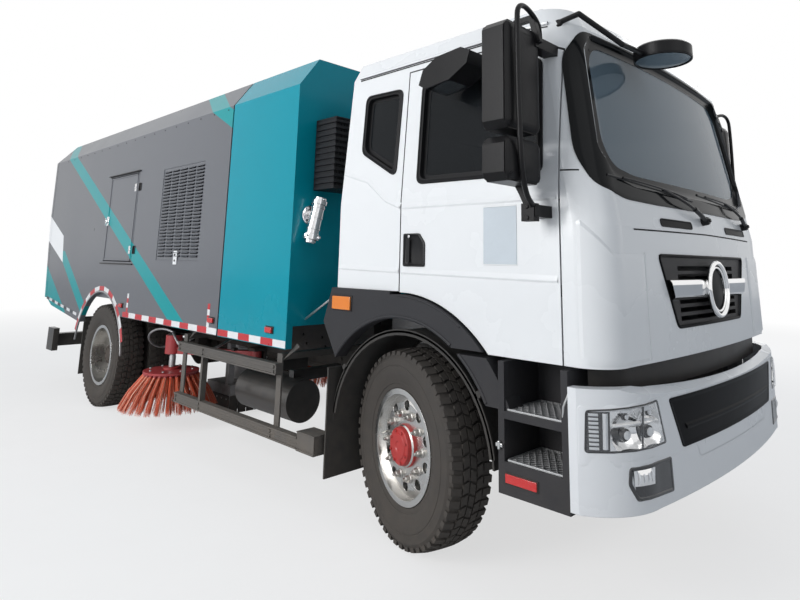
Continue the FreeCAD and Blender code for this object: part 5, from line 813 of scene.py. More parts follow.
for y in (-0.428, 0.420):
    slab(skirts, (-0.95, y, 0.03), (-0.48, y + 0.008, 0.20), 0)
    for k in range(5):
        outer = y if y < 0 else y + 0.008
        bolt(skirts, (-0.90 + 0.095 * k, outer, 0.17), (0, math.copysign(1, y), 0), 0.009, 0.006, index=1)
slab(skirts, (-0.958, -0.42, 0.03), (-0.950, 0.42, 0.20), 0)
for k in range(9):
    slab(skirts, (-0.480, -0.415 + 0.093 * k, 0.035), (-0.472, -0.330 + 0.093 * k, 0.20), 0)
for z in (0.33, 0.62):
    bolt(skirts, (-0.72, -0.19, z), (0, 0, 1), 0.126, 0.018, sides=40, index=1)
fit("nozzle_skirts", skirts, "chassis", [guard_rubber, dull_steel])

# ---- Cab shell and doors -----------------------------------------------------
# Pressed steel in white, trimmed in grey inside. Seams part its corner deflectors and
# nose panel, and two pressed creases run along each side.
def skin(*nodes):
    """What a ray meets of some CAD nodes, to lay seams and trims on them."""
    corners, faces = [], []
    for name in nodes:
        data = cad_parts[name].data
        start = len(corners)
        corners += [corner.co.copy() for corner in data.vertices]
        faces += [[start + k for k in face.vertices] for face in data.polygons]
    return BVHTree.FromPolygons(corners, faces)


def landed(surface, spot, way):
    """Where a spot that moves along a way meets a surface, and the normal there."""
    way = Vector(way).normalized()
    place, normal, _, _ = surface.ray_cast(Vector(spot) - 0.4 * way, way)
    if place is None:
        return Vector(spot), -way
    return place, normal if normal.dot(way) < 0 else -normal


def ribbon(mesh, surface, line, way, section):
    """Lays a strip along a line on a surface; its section is (across, above) points."""
    line = [Vector(spot) for spot in line]
    spots = []
    for start, end in zip(line, line[1:]):
        parts = max(1, round((end - start).length / 0.03))
        spots += [start.lerp(end, k / parts) for k in range(parts)]
    seats = [landed(surface, spot, way) for spot in [*spots, line[-1]]]
    rows = []
    for (before, _), (place, normal), (after, _) in zip([seats[0], *seats], seats, [*seats[1:], seats[-1]]):
        across = (after - before).cross(normal).normalized()
        rows.append([mesh.verts.new(place + across * side + normal * up) for side, up in section])
    joined(mesh, rows, closed=False)


def rounded(corners, radius, steps=5):
    """Rounds off the corners of a closed outline of (across, up) points."""
    line = []
    corners = [Vector(corner) for corner in corners]
    for before, here, after in zip([corners[-1], *corners], corners, [*corners[1:], corners[0]]):
        start, end = [here + (other - here).normalized() * radius for other in (before, after)]
        line += [start.lerp(here, k / steps).lerp(here.lerp(end, k / steps), k / steps)
                 for k in range(steps + 1)]
    return line


def lined(made, heart, colour):
    """Gives the faces that look towards a room's middle the colour of its trim."""
    tree = made.node_tree
    base, rough = [tree.nodes["Principled BSDF"].inputs[socket] for socket in ("Base Color", "Roughness")]
    shape = shade(tree, "NewGeometry").outputs
    away = shade(tree, "VectorMath", "Vector", {0: shape["Position"], 1: heart}, operation="SUBTRACT")
    facing = shade(tree, "VectorMath", "Value", {0: away, 1: shape["True Normal"]}, operation="DOT_PRODUCT")
    indoors = maths(tree, "LESS_THAN", facing, 0.0)
    tree.links.new(mixed(tree, indoors, base.links[0].from_socket, colour), base)
    dull = maths(tree, "MAXIMUM", rough.links[0].from_socket, maths(tree, "MULTIPLY", indoors, 0.8))
    tree.links.new(dull, rough)
    return made


CAB_HEART = (3.1, 0.0, 2.0)
TRIM_GREY = (0.13, 0.13, 0.135)
cab_white = lined(finish("cab_white", (0.76, 0.77, 0.775), 0.26, coat=0.2, mirror=0.35, patch=0.012,
                         patch_size=1.2,
                         grain=0.03, grain_size=7, dust=0.1, dust_top=1.5), CAB_HEART, TRIM_GREY)
dress(cab_white, "cab_shell", "door_left", "door_right")
# Black for the panel seams, and for a painted shadow line under each drip rail.
seam_and_shadow_black = finish("seam_and_shadow_black", (0.008, 0.008, 0.009), 0.6, mirror=0.1, patch=0.2, grain=0.2)
SEAM = [(-0.0035, -0.003), (-0.0035, 0.0016), (0.0035, 0.0016), (0.0035, -0.003)]
GUTTER = [(-0.012, -0.002), (-0.012, 0.012), (-0.004, 0.016), (0.006, 0.010), (0.008, -0.002)]
CREASE = [(-0.030, -0.001), (-0.012, 0.0022), (0.0, 0.0062), (0.007, 0.0022), (0.012, -0.001)]
cab_skin = skin("cab_shell")
# The seams mesh also holds the painted shadow line under each drip rail.
seams = bmesh.new()
panels = bmesh.new()
for sign in (1, -1):
    aside = (0, -sign, 0)
    slant = (-0.7, -0.7 * sign, 0)
    ribbon(seams, cab_skin, [(3.746, sign * 1.17, 1.975), (3.83, sign * 1.15, 1.972)], aside, SEAM)
    # Corner deflector: stands proud at its outer and upper edges and fades out inwards.
    rows = []
    for row in range(25):
        rows.append([])
        for column in range(21):
            t = column / 20
            around = (1.874 + 0.375 * t) * 0.7071
            z = 1.102 + (0.66 - 0.17 * min(1.0, 2.2 * t)) * row / 24
            place, normal = landed(cab_skin, (2.5 + around, sign * (2.5 - around), z), slant)
            rise = 0.009 if 0 < row < 24 and 0 < column < 20 else -0.001
            rise *= 1.0 - 0.6 * max(0.0, t - 0.5) * 2 * row / 24
            rows[-1].append(panels.verts.new(place + normal * rise))
    joined(panels, rows, closed=False)
    # Creases of the panel behind the door, one of them under the quarter window.
    for crease in ([(2.12, 1.492), (2.668, 1.480)],
                   [(2.12, 2.10), (2.36, 2.03), (2.54, 1.90), (2.668, 1.852)]):
        ribbon(panels, cab_skin, [(x, sign * 1.17, z) for x, z in crease], aside, CREASE)
    # Drip rail: a rolled gutter with a dark strip under it, which is painted shadow.
    rail = [(2.20, sign * 1.12, 2.748), (3.66, sign * 1.12, 2.748)]
    ribbon(panels, cab_skin, rail, aside, GUTTER)
    ribbon(seams, cab_skin, [(x, y, z - 0.014) for x, y, z in rail], aside, SEAM)
ribbon(seams, cab_skin, [(3.96, -0.875, 1.708), (3.99, 0.0, 1.716), (3.96, 0.875, 1.708)], (-1, 0, 0), SEAM)
for y in (-0.79, 0.79):
    ribbon(panels, cab_skin, [(3.98, y, 1.11), (3.98, y, 1.60)], (-1, 0, 0),
           [(-0.006, -0.001), (-0.002, 0.004), (0.004, 0.005), (0.012, -0.001)])
fit("cab_seams_and_shadow_line", seams, "cab", seam_and_shadow_black)
fit("cab_panels", panels, "cab", cab_white, crease=25)

for side, sign in SIDES:
    folds, handle = bmesh.new(), bmesh.new()
    for back, fore in ((1.850, 1.846), (1.478, 1.462)):
        ribbon(folds, skin(f"door_{side}"), [(2.69, sign * 1.17, back), (3.722, sign * 1.17, fore)],
               (0, -sign, 0), CREASE)
    fit(f"door_{side}_folds", folds, f"door_{side}", cab_white, crease=25)
    # Handle: a moulded dish with a cut corner and a pull bar standing in it.
    outline = rounded([(2.708, 1.512), (2.878, 1.512), (2.878, 1.645), (2.835, 1.698), (2.708, 1.698)],
                      0.012, 3)
    rows = []
    for shrink, height in ((0.0, -0.002), (0.0, 0.007), (0.010, 0.009), (0.020, 0.0012)):
        spots = [spot + (Vector((2.79, 1.605)) - spot).normalized() * shrink for spot in outline]
        rows.append([handle.verts.new((spot.x, sign * (1.17 + height), spot.y)) for spot in spots])
    joined(handle, rows)
    handle.faces.new(rows[-1])
    slab(handle, (2.742, sign * 1.170, 1.535), (2.768, sign * 1.186, 1.665))
    bolt(handle, (2.755, sign * 1.178, 1.680), (0, sign, 0), 0.009, 0.004, sides=16, index=1)
    fit(f"door_{side}_handle", handle, f"door_{side}", [trim_black, dull_steel],
        bevel=0.002)
sheet_white = finish("sheet_white", (0.52, 0.57, 0.61), 0.6, patch=0.08, patch_size=9, grain=0.1)
paper = bmesh.new()
slab(paper, (3.292, -1.1702, 1.528), (3.498, -1.1714, 1.826))
for z in (1.528, 1.820):
    slab(paper, (3.292, -1.1706, z), (3.498, -1.1722, z + 0.006), 1)
fit("door_right_sheet", paper, "door_right", [sheet_white, cab_white])

# ---- Windows -----------------------------------------------------------------
# Tinted safety glass held in black rubber with rounded corners. The windscreen has a
# wide black ceramic border that runs round on to the corner posts.
def tinted(name, colour, least, most, mirror=0.3):
    """Glass that is clear from straight on and at a glance is covered by its own colour under its gloss;
    least and most are how much of it covers what is behind. A pale colour there is a painted reflection."""
    made = finish(name, colour, 0.09, patch=0.1, patch_size=1.5, edge=0.001, mirror=mirror)
    tree = made.node_tree
    glance = shade(tree, "Fresnel", "Fac", {"IOR": 1.5})
    veil = shade(tree, "MapRange", "Result",
                 {"Value": glance, "From Min": 0.04, "From Max": 0.6, "To Min": least,
                  "To Max": most})
    tree.links.new(veil, tree.nodes["Principled BSDF"].inputs["Alpha"])
    return made


side_glass = tinted("side_glass", (0.014, 0.016, 0.018), 0.66, 0.95, mirror=0.16)
# The windscreen's light blue colour, which covers more of the glass at a glance, is a painted reflection of
# the sky.
screen_glass_painted_sky = tinted("screen_glass_painted_sky", (0.165, 0.225, 0.270), 0.45, 0.90, mirror=0.5)
dress(side_glass, "door_glass_left", "door_glass_right", "cab_side_glass")
dress(screen_glass_painted_sky, "windscreen")
window_rubber = finish("window_rubber", (0.010, 0.010, 0.011), 0.5, mirror=0.15, patch=0.2, grain=0.2,
                       grain_size=160)
ceramic_black = finish("ceramic_black", (0.006, 0.007, 0.008), 0.14, patch=0.2, mirror=0.1)


def moved_in(outline, depth):
    """A closed outline of (across, up) points, drawn in by a depth."""
    area = sum(a.x * b.y - b.x * a.y for a, b in zip(outline, outline[1:] + outline[:1]))
    turn = 1 if area > 0 else -1
    ways = [(after - before).normalized() for before, after in
            zip([outline[-1], *outline], [*outline[1:], outline[0]])]
    return [here + Vector((-way.y, way.x)) * depth * turn for here, way in zip(outline, ways)]


def collar(mesh, rings, place, index=0):
    """Joins closed outlines of equal length; each ring is (outline, height)."""
    joined(mesh, [[mesh.verts.new(place(spot, height)) for spot in outline] for outline, height in rings],
           index)


def on_side(sign):
    """Puts (along, up) and a height above the skin on the upper side of the cab."""
    def place(spot, height):
        return (spot[0], sign * (1.17 - 0.0686 * max(0.0, spot[1] - 1.9) + height), spot[1])
    return place


SIDE_WINDOWS = [("door", [(2.81, 1.995), (3.635, 1.983), (3.623, 2.560), (2.81, 2.585)]),
                ("cab", [(2.295, 2.23), (2.605, 2.06), (2.615, 2.585), (2.295, 2.595)])]
# Seal of a side window: roundness of the corners, how far in, height above the skin.
SEAL = [(0.035, -0.016, -0.001), (0.035, -0.015, 0.006), (0.045, -0.006, 0.009), (0.05, -0.002, 0.004),
        (0.055, 0.004, 0.008), (0.06, 0.012, 0.006), (0.065, 0.014, -0.0235), (0.07, 0.034, -0.0235)]
for side, sign in SIDES:
    for name, corners in SIDE_WINDOWS:
        seal = bmesh.new()
        collar(seal, [(moved_in(rounded(corners, radius), depth), height)
                      for radius, depth, height in SEAL], on_side(sign))
        body = "cab" if name == "cab" else f"door_{side}"
        fit(f"{name}_{side}_window_seal", seal, body, window_rubber, crease=50)


def on_nose(spot, height):
    """Puts (distance round from the centre line, up) on the front of the cab's upper half."""
    around, up = abs(spot[0]), spot[1]
    rise = (up - 1.9) / 0.845
    front, half = 3.962 - 0.142 * max(0.0, rise), 1.17 - 0.058 * max(0.0, rise)
    front += 0.031 * min(1.0, max(0.0, 1.9 - up) / 0.18) + 0.0194 * max(0.0, 1.72 - up)
    bend = max(0.0, around - (half - 0.19)) / 0.266 * math.pi / 2
    if bend > 0:
        x, y = front - 0.19 + 0.148 * math.cos(bend), half - 0.19 + 0.19 * math.sin(bend)
        out = Vector((0.19 * math.cos(bend), 0.148 * math.sin(bend), 0.02)).normalized()
    else:
        x, y = front - 0.042 * (around / (half - 0.19)) ** 2, around
        out = Vector((1.0, 0.09 * around, 0.16)).normalized()
    place = Vector((x, y, up)) + out * height
    return place if spot[0] > 0 else Vector((place.x, -place.y, place.z))


def mirrored(half):
    return half + [(-across, up) for across, up in reversed(half)]


# Outer edge, edge of the opening in the cab and inner edge of the border, from the middle of
# the lower edge to the middle of the upper one, each with the radius of its corners.
BORDER = (([(0.60, 1.842), (0.90, 1.850), (1.10, 1.905), (1.165, 2.06), (1.118, 2.56), (0.98, 2.722),
            (0.50, 2.730)], 0.06),
          ([(0.55, 1.915), (0.78, 1.916), (0.955, 1.955), (1.035, 2.09), (0.985, 2.625), (0.905, 2.715),
            (0.45, 2.7148)], 0.03),
          ([(0.55, 1.985), (0.72, 1.988), (0.90, 2.020), (0.965, 2.13), (0.925, 2.59), (0.85, 2.665),
            (0.45, 2.670)], 0.06))


def spread(outline, parts=6):
    """Divides each edge of a closed outline into equal parts."""
    return [here.lerp(there, k / parts) for here, there in zip(outline, outline[1:] + outline[:1])
            for k in range(parts)]


def between(outer, inner, share):
    return [here.lerp(there, share) for here, there in zip(outer, inner)]


border = bmesh.new()
outer, hole, inner = [spread(rounded(mirrored(half), radius)) for half, radius in BORDER]
rings = [(outer, -0.001), (outer, 0.004)]
rings += [(between(outer, hole, share / 8), 0.006) for share in range(1, 8)]
rings += [(hole, 0.005), (moved_in(hole, 0.002), -0.010)]
rings += [(between(hole, inner, share / 3), -0.022) for share in (1, 2, 3)]
collar(border, rings, on_nose)
fit("windscreen_border", border, "cab", ceramic_black, crease=50)

# Wipers: pressed arms on a common linkage, parked along the foot of the windscreen.
wipers = bmesh.new()
for pivot, start, end in (((-0.02, 1.79), (-1.02, 1.955), (-0.12, 1.900)),
                          ((0.80, 1.80), (-0.02, 1.945), (0.80, 1.905))):
    start, end = Vector(start), Vector(end)
    middle = start.lerp(end, 0.55)
    blade = [on_nose(start.lerp(end, k / 12), 0.006) for k in range(13)]
    tube(wipers, blade, 0.007, sides=6)
    tube(wipers, [on_nose(start.lerp(end, 0.12 + 0.76 * k / 8), 0.020 + 0.012 * math.sin(math.pi * k / 8))
                  for k in range(9)],
         0.006, sides=6)
    arm = [on_nose(Vector(pivot).lerp(middle, k / 8), 0.024 + 0.020 * math.sin(math.pi * k / 8))
           for k in range(9)]
    tube(wipers, arm[:4], 0.013, sides=8)
    tube(wipers, arm[3:], 0.008, sides=8)
    bolt(wipers, on_nose(Vector(pivot), 0.0), (1, 0, 0.17), 0.024, 0.040, sides=20)
    bolt(wipers, on_nose(Vector(pivot), 0.038), (1, 0, 0.17), 0.012, 0.012)
fit("wipers", wipers, "cab", trim_black)

# ---- Bumper, lamps and grille ------------------------------------------------
# A moulded bumper in silver white with a black intake. Each headlamp has two chromed
# bowls and a ribbed turn lamp round the corner, with a fog lamp below in a recess that is drawn
# as a flat dark bed in painted shade.
bumper_paint = finish("bumper_paint", (0.72, 0.73, 0.74), 0.27, coat=0.2, mirror=0.35, patch=0.015,
                      patch_size=1.5, grain=0.04, grain_size=9, dust=0.12, dust_top=0.9)
chrome = finish("chrome", (0.86, 0.86, 0.86), 0.09, metallic=1.0, patch=0.05, grain=0.05, grain_size=30,
                edge=0.001)
# Dark lamp parts: black moulding, and also painted shade and painted dark reflections in the lamps.
lamp_dark_and_painted_shade = finish("lamp_dark_and_painted_shade", (0.03, 0.03, 0.032), 0.25, coat=0.5, patch=0.2)
lamp_bright = finish("lamp_bright", (0.82, 0.83, 0.84), 0.15, coat=0.6, patch=0.05)
gloss_black = finish("gloss_black", (0.005, 0.005, 0.006), 0.35, mirror=0.04, patch=0.2, dust=0.04,
                     dust_top=1.0)
dress(bumper_paint, "front_bumper")
LAMP_STUFF = [chrome, lamp_dark_and_painted_shade, lamp_bright]


def on_bumper(spot, height):
    """Puts (distance round from the centre line, up) on the bumper's front."""
    around, up = abs(spot[0]), spot[1]
    if around < 0.9054:
        turn, reach, middle = around / 7.0553, 7.0553 + height, (-2.9653, 0.0)
    else:
        turn, reach, middle = 0.0240 + (around - 0.9054) / 0.3599, 0.3599 + height, (3.6722, 0.8942)
    y = middle[1] + reach * math.sin(turn)
    return Vector((middle[0] + reach * math.cos(turn), y if spot[0] > 0 else -y, up))


def quilt(mesh, place, corners, across, up, height, index=0):
    """A grid over four corners (two low, two high), flat or each spot at its own height."""
    low, low_end, high_end, high = [Vector(corner) for corner in corners]
    rows = []
    for v in (k / up for k in range(up + 1)):
        rows.append([])
        for u in (k / across for k in range(across + 1)):
            spot = low.lerp(low_end, u).lerp(high.lerp(high_end, u), v)
            rows[-1].append(mesh.verts.new(place(spot, height(u, v) if callable(height) else height)))
    joined(mesh, rows, index, closed=False)


def arched(foot, rise, across=False, up=True):
    """Height of a face that swells between its edges, across it, up it or both ways."""
    def height(u, v):
        return foot + rise * math.prod(math.sin(math.pi * share)
                                       for share, swells in ((u, across), (v, up)) if swells)
    return height


def bowl(u, v):
    """Depth of the headlamp's reflectors, with a fin between them."""
    depth = 0.002
    for middle, wide in ((0.32, 0.27), (0.73, 0.25)):
        far = ((u - middle) / wide) ** 2 + ((v - 0.46) / 0.52) ** 2
        if far < 1:
            depth = min(depth, 0.002 - 0.040 * (1 - far) ** 0.6)
    return depth


# The dark lamp finish is partly painted: dark reflections in the chrome bowls, and the shade of the fog
# lamp's recess, which is drawn flat.
CHROME, DARK, BRIGHT = 0, 1, 2
# Faces in a headlamp: corners, divisions across and up, height and finish. They are the
# bowls, the bed of the turn lamp, the light bar, the fin between the bowls and two shades.
HEADLAMP = [([(0.842, 0.783), (1.170, 0.778), (1.166, 0.932), (0.893, 0.953)], 34, 18, bowl, CHROME),
            ([(1.168, 0.778), (1.270, 0.774), (1.262, 0.930), (1.164, 0.932)], 6, 1, 0.0015, DARK),
            ([(1.178, 0.784), (1.200, 0.784), (1.197, 0.926), (1.175, 0.926)], 4, 1,
             arched(0.002, 0.007, True, False), BRIGHT),
            ([(1.008, 0.781), (1.020, 0.781), (1.006, 0.944), (0.994, 0.945)], 3, 1,
             arched(0.001, 0.003, True, False), DARK),
            ([(1.015, 0.868), (1.160, 0.862), (1.158, 0.882), (1.013, 0.890)], 8, 3, arched(-0.006, 0.006),
             CHROME),
            ([(0.855, 0.868), (0.995, 0.868), (0.993, 0.880), (0.860, 0.882)], 8, 3, arched(-0.008, 0.006),
             CHROME)]
HEADLAMP += [(oblong(1.216, 0.781 + 0.0165 * rib, 0.040, 0.011), 3, 4, arched(0.002, 0.006), BRIGHT)
             for rib in range(9)]
# Faces in a fog lamp: the bed of its recess, the crowned reflector and four ribs of glass.
# The bed lies on the bumper's face; its dark colour is painted shade for the depth of the recess.
FOG_LAMP = [([(0.798, 0.580), (1.052, 0.590), (1.078, 0.704), (0.808, 0.704)], 16, 4, 0.0022, DARK),
            ([(0.945, 0.632), (1.066, 0.637), (1.068, 0.697), (0.940, 0.697)], 14, 8,
             arched(0.003, 0.008, True), CHROME)]
FOG_LAMP += [(oblong(0.963 + 0.026 * rib, 0.642, 0.008, 0.048), 2, 6, arched(0.004, 0.009), BRIGHT)
             for rib in range(4)]
COVER = ([(0.842, 0.782), (1.270, 0.774), (1.262, 0.931), (0.897, 0.955)], 24, 8, arched(0.0095, 0.003), 0)
MOUTH = [(0.835, 0.775), (1.276, 0.768), (1.268, 0.937), (0.893, 0.962)]
SURROUND = [(0.668, 0.706), (1.302, 0.712), (1.300, 0.956), (0.775, 0.972)]
RECESS = [(0.790, 0.572), (1.050, 0.580), (1.092, 0.645), (1.085, 0.708), (0.800, 0.712)]
for side, sign in SIDES:
    lamp, panel, fog, cover = [bmesh.new() for _ in range(4)]

    def outlined(corners, radius):
        return spread(rounded([(sign * around, up) for around, up in corners], radius, 3), 4)

    for mesh, faces in ((lamp, HEADLAMP), (fog, FOG_LAMP), (cover, [COVER])):
        for corners, across, up, height, index in faces:
            quilt(mesh, on_bumper, [(sign * around, level) for around, level in corners], across, up,
                  height, index)
    mouth, rim, recess = outlined(MOUTH, 0.016), outlined(SURROUND, 0.02), outlined(RECESS, 0.012)
    skirt = [(moved_in(mouth, 0.003), -0.001), (mouth, 0.004)]
    skirt += [(between(mouth, rim, share / 8), 0.004 - 0.0018 * share / 8) for share in range(1, 8)]
    collar(panel, [*skirt, (rim, -0.001)], on_bumper)
    # Black seals in the headlamp's mouth and round the fog lamp's recess; the dark ring in the
    # mouth also stands for a painted dark reflection in the chrome.
    collar(lamp, [(mouth, 0.0045), (moved_in(mouth, 0.006), 0.0055), (moved_in(mouth, 0.008), 0.0)],
           on_bumper, DARK)
    collar(fog, [(moved_in(recess, -0.004), -0.001), (recess, 0.004), (moved_in(recess, 0.010), 0.005),
                 (moved_in(recess, 0.014), 0.0015)], on_bumper, DARK)
    # Bulbs: a dark shade with a bright cap, two large ones below and two small ones above. The
    # dark shades also stand for painted dark reflections in the chrome bowls.
    facing = (1, sign * 0.35, 0)
    for middle, up, shade_wide, cap_wide in ((1.085, 0.832, 0.026, 0.018), (0.930, 0.832, 0.026, 0.018),
                                             (1.085, 0.905, 0.015, 0.010), (0.930, 0.912, 0.015, 0.010)):
        root = on_bumper((sign * middle, up), -0.036)
        bolt(lamp, root, facing, shade_wide, 0.020, sides=20, index=DARK)
        bolt(lamp, root + Vector((0.019, sign * 0.006, 0)), facing, cap_wide, 0.006, sides=20, index=BRIGHT)
    fit(f"lamp_{side}_surround", panel, "chassis", bumper_paint, crease=30)
    lit = fit(f"headlamp_{side}", lamp, "chassis", LAMP_STUFF, crease=35)
    if side == "left":
        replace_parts(lit, "front_lamps")
    fit(f"fog_lamp_{side}", fog, "chassis", LAMP_STUFF, crease=35)
    # The covers' pale colour, which shows more at a glance, is a painted sheen on clear glass.
    clear = tinted(f"lamp_cover_painted_sheen_{side}", (0.80, 0.82, 0.84), 0.06, 0.55)
    fit(f"headlamp_{side}_cover", cover, "chassis", clear, crease=60)

# Intake: a smooth black moulding with a rolled rim, over a plain chin; an apron behind the
# bumper closes the gap below the cab.
intake, chin, apron = [bmesh.new() for _ in range(3)]
intake_line = spread(rounded([(-0.690, 0.731), (0.690, 0.731), (0.800, 0.952), (-0.800, 0.952)], 0.02), 8)
collar(intake, [(intake_line, -0.001), (intake_line, 0.0045), (moved_in(intake_line, 0.010), 0.005),
                (moved_in(intake_line, 0.020), 0.0008)], on_bumper)
quilt(intake, on_bumper, [(-0.684, 0.738), (0.684, 0.738), (0.788, 0.945), (-0.788, 0.945)], 60, 10,
      arched(0.001, 0.002))
quilt(intake, on_bumper, [(-0.640, 0.800), (0.640, 0.800), (0.660, 0.832), (-0.660, 0.832)], 60, 3,
      arched(0.002, 0.007))
fit("intake_panel", intake, "chassis", gloss_black, crease=35)
chin_line = spread(rounded([(-0.520, 0.664), (0.520, 0.664), (0.560, 0.733), (-0.560, 0.733)], 0.01, 2), 12)
collar(chin,
       [(moved_in(chin_line, -0.020), -0.001), (moved_in(chin_line, -0.004), 0.0022), (chin_line, 0.0026)],
       on_bumper)
quilt(chin, on_bumper, [(-0.518, 0.666), (0.518, 0.666), (0.558, 0.732), (-0.558, 0.732)], 40, 4, 0.0026)
fit("chin_panel", chin, "chassis", bumper_paint, crease=30)
quilt(apron, on_bumper, oblong(-1.24, 0.975, 2.48, 0.122), 60, 1, -0.105)
fit("nose_apron", apron, "chassis", trim_black)

# Grille: a chromed bar with a plain ring, over black louvres, and two grab slots above.
# Section of the bar as (share of its width, height).
BAR = [(0.0, -0.004), (0.02, 0.010), (0.16, 0.026), (0.80, 0.030), (0.97, 0.020), (1.0, -0.004)]


def bar_height(u, v):
    for (start, low), (end, high) in zip(BAR, BAR[1:]):
        if v <= end:
            return low + (high - low) * (v - start) / (end - start)


bar, hub = bmesh.new(), bmesh.new()
quilt(bar, on_nose, [(-0.542, 1.366), (0.542, 1.366), (0.592, 1.474), (-0.592, 1.474)], 40, 12, bar_height)
TURN = [*angles(48), 2 * math.pi]
for radius, thick, height in ((0.142, 0.0135, 0.040), (0.118, 0.007, 0.036)):
    tube(bar, [on_nose((radius * math.cos(turn), 1.41 + radius * math.sin(turn)), height) for turn in TURN],
         thick, 12)
fit("grille_bar", bar, "cab", chrome, crease=30)
bolt(hub, on_nose((0, 1.41), 0.020), (1, 0, 0.02), 0.112, 0.012, sides=48)
grille_line = spread(rounded([(-0.485, 1.238), (0.485, 1.238), (0.646, 1.588), (-0.646, 1.588)], 0.03), 6)
collar(hub, [(moved_in(grille_line, -0.010), -0.001), (moved_in(grille_line, -0.008), 0.006),
             (grille_line, 0.007), (moved_in(grille_line, 0.006), 0.001)], on_nose)
for start, end in ((-0.59, -0.20), (0.36, 0.80)):
    slot_line = spread(rounded(oblong(start, 1.735, end - start, 0.042), 0.020), 5)
    collar(hub, [(slot_line, -0.001), (slot_line, 0.0045), (moved_in(slot_line, 0.005), 0.004),
                 (moved_in(slot_line, 0.008), 0.0012)], on_nose)
    quilt(hub, on_nose, oblong(start + 0.006, 1.741, end - start - 0.012, 0.030), 20, 2, 0.0018)
fit("grille_frame", hub, "cab", gloss_black, crease=35)

# ---- Steps and flares --------------------------------------------------------
# Black moulded step boxes with diamond-mesh treads of expanded steel, and grey plastic
# flares with a rolled lip and an amber turn lamp, screwed to the cab's sides.
def bar_between(mesh, start, end, wide, thick):
    """A flat bar on edge between two spots, as of expanded metal."""
    start, end = Vector(start), Vector(end)
    side = (end - start).cross(Vector((0, 0, 1))).normalized() * wide / 2
    top = Vector((0, 0, thick))
    joined(mesh, [[mesh.verts.new(spot + way * side + lift * top)
                   for way, lift in ((-1, 0), (1, 0), (1, 1), (-1, 1))]
                  for spot in (start, end)])


def clipped(start, end, low, high):
    """The part of a slanting line inside a rectangle, or None."""
    begin, stop = 0.0, 1.0
    for axis in (0, 1):
        run = end[axis] - start[axis]
        near, far = sorted(((low[axis] - start[axis]) / run, (high[axis] - start[axis]) / run))
        begin, stop = max(begin, near), min(stop, far)
    if stop - begin >= 0.02:
        return [Vector(start).lerp(Vector(end), share) for share in (begin, stop)]


mesh_steel = finish("mesh_steel", (0.50, 0.50, 0.50), 0.35, metallic=0.5, patch=0.15, grain=0.1, dust=0.2,
                    dust_top=0.9)
flare_grey = finish("flare_grey", (0.030, 0.030, 0.033), 0.5, mirror=0.2, patch=0.15, grain=0.15,
                    grain_size=90, dust=0.2, dust_top=1.2)
bright_steel = finish("bright_steel", (0.62, 0.62, 0.61), 0.28, metallic=0.9, patch=0.12, grain=0.1,
                      dust=0.1, dust_top=1.0)
TREAD_LOW, TREAD_HIGH = (3.448, 0.915), (3.735, 1.188)
MESH_PITCH, MESH_LEAN = 0.036, 0.19
# Reflector in its holder and hook of a step box: corners and finish.
STEP_SLABS = (((3.436, 1.199, 0.548), (3.620, 1.203, 0.598), 0),
              ((3.444, 1.202, 0.554), (3.612, 1.209, 0.592), 1),
              ((3.392, 1.198, 0.700), (3.430, 1.212, 0.716), 2),
              ((3.405, 1.208, 0.690), (3.418, 1.216, 0.726), 2))
for side, sign in SIDES:
    treads, fittings, turn_lamp = [bmesh.new() for _ in range(3)]
    (back, inner), (fore, outer) = TREAD_LOW, TREAD_HIGH
    for top in (0.641, 0.861):
        for x in (back + MESH_PITCH * k for k in range(-8, 16)):
            for start, end in ((x, x + MESH_LEAN), (x + MESH_LEAN, x)):
                line = clipped((start, inner), (end, outer), TREAD_LOW, TREAD_HIGH)
                if line:
                    bar_between(treads, *[(spot.x, sign * spot.y, top) for spot in line], 0.005, 0.007)
        frame_spots = [(x, sign * y, top) for x, y in ((back, inner), (fore, inner), (fore, outer),
                                                       (back, outer))]
        for start, end in ((0, 1), (3, 2), (0, 3), (1, 2)):
            bar_between(treads, frame_spots[start], frame_spots[end], 0.008, 0.009)
    fit(f"step_{side}_treads", treads, "chassis", mesh_steel)
    for low, high, index in STEP_SLABS:
        slab(fittings, (low[0], sign * low[1], low[2]), (high[0], sign * high[1], high[2]), index)
    tube(fittings, [(3.745, sign * 1.195, 0.885), (3.752, sign * 1.200, 0.930),
                    (3.785, sign * 1.200, 1.000)], 0.006, 6, 2)
    fit(f"step_{side}_fittings", fittings, "chassis", [trim_black, lens_red, bright_steel],
        bevel=0.0015)
    for name, body, first, last in (("step", "chassis", 29.5, 51.5), ("flare", "cab", 57.0, 141.5)):
        lip = bmesh.new()
        turns = [math.radians(first + (last - first) * k / 30) for k in range(31)]
        edges = [(0.712, 1.186, turns, 0.011, 10)]
        if name == "flare":
            edges.append((0.826, 1.188, [turn for turn in turns if 45 < math.degrees(turn) < 93], 0.006, 8))
        for reach, y, part, thick, sides in edges:
            tube(lip, [swung(FRONT_WHEEL, reach, turn, sign * y) for turn in part], thick, sides)
        fit(f"{name}_{side}_lip", lip, body, flare_grey, crease=60)
    slab(turn_lamp, (2.095, sign * 1.188, 1.232), (2.285, sign * 1.195, 1.328), index=1)
    slab(turn_lamp, (2.103, sign * 1.194, 1.240), (2.277, sign * 1.206, 1.320))
    fit(f"flare_{side}_turn_lamp", turn_lamp, "cab", [lens_amber, trim_black], bevel=0.004)
dress(flare_grey, "cab_flares", "cab_steps")


def turned(mesh, centre, profile, sides, index=0):
    """Turns a profile of (radius, height) points about an upright line."""
    joined(mesh,
           [[mesh.verts.new(Vector(centre) + Vector((wide * math.cos(angle), wide * math.sin(angle), up)))
             for angle in angles(sides)] for wide, up in profile], index)


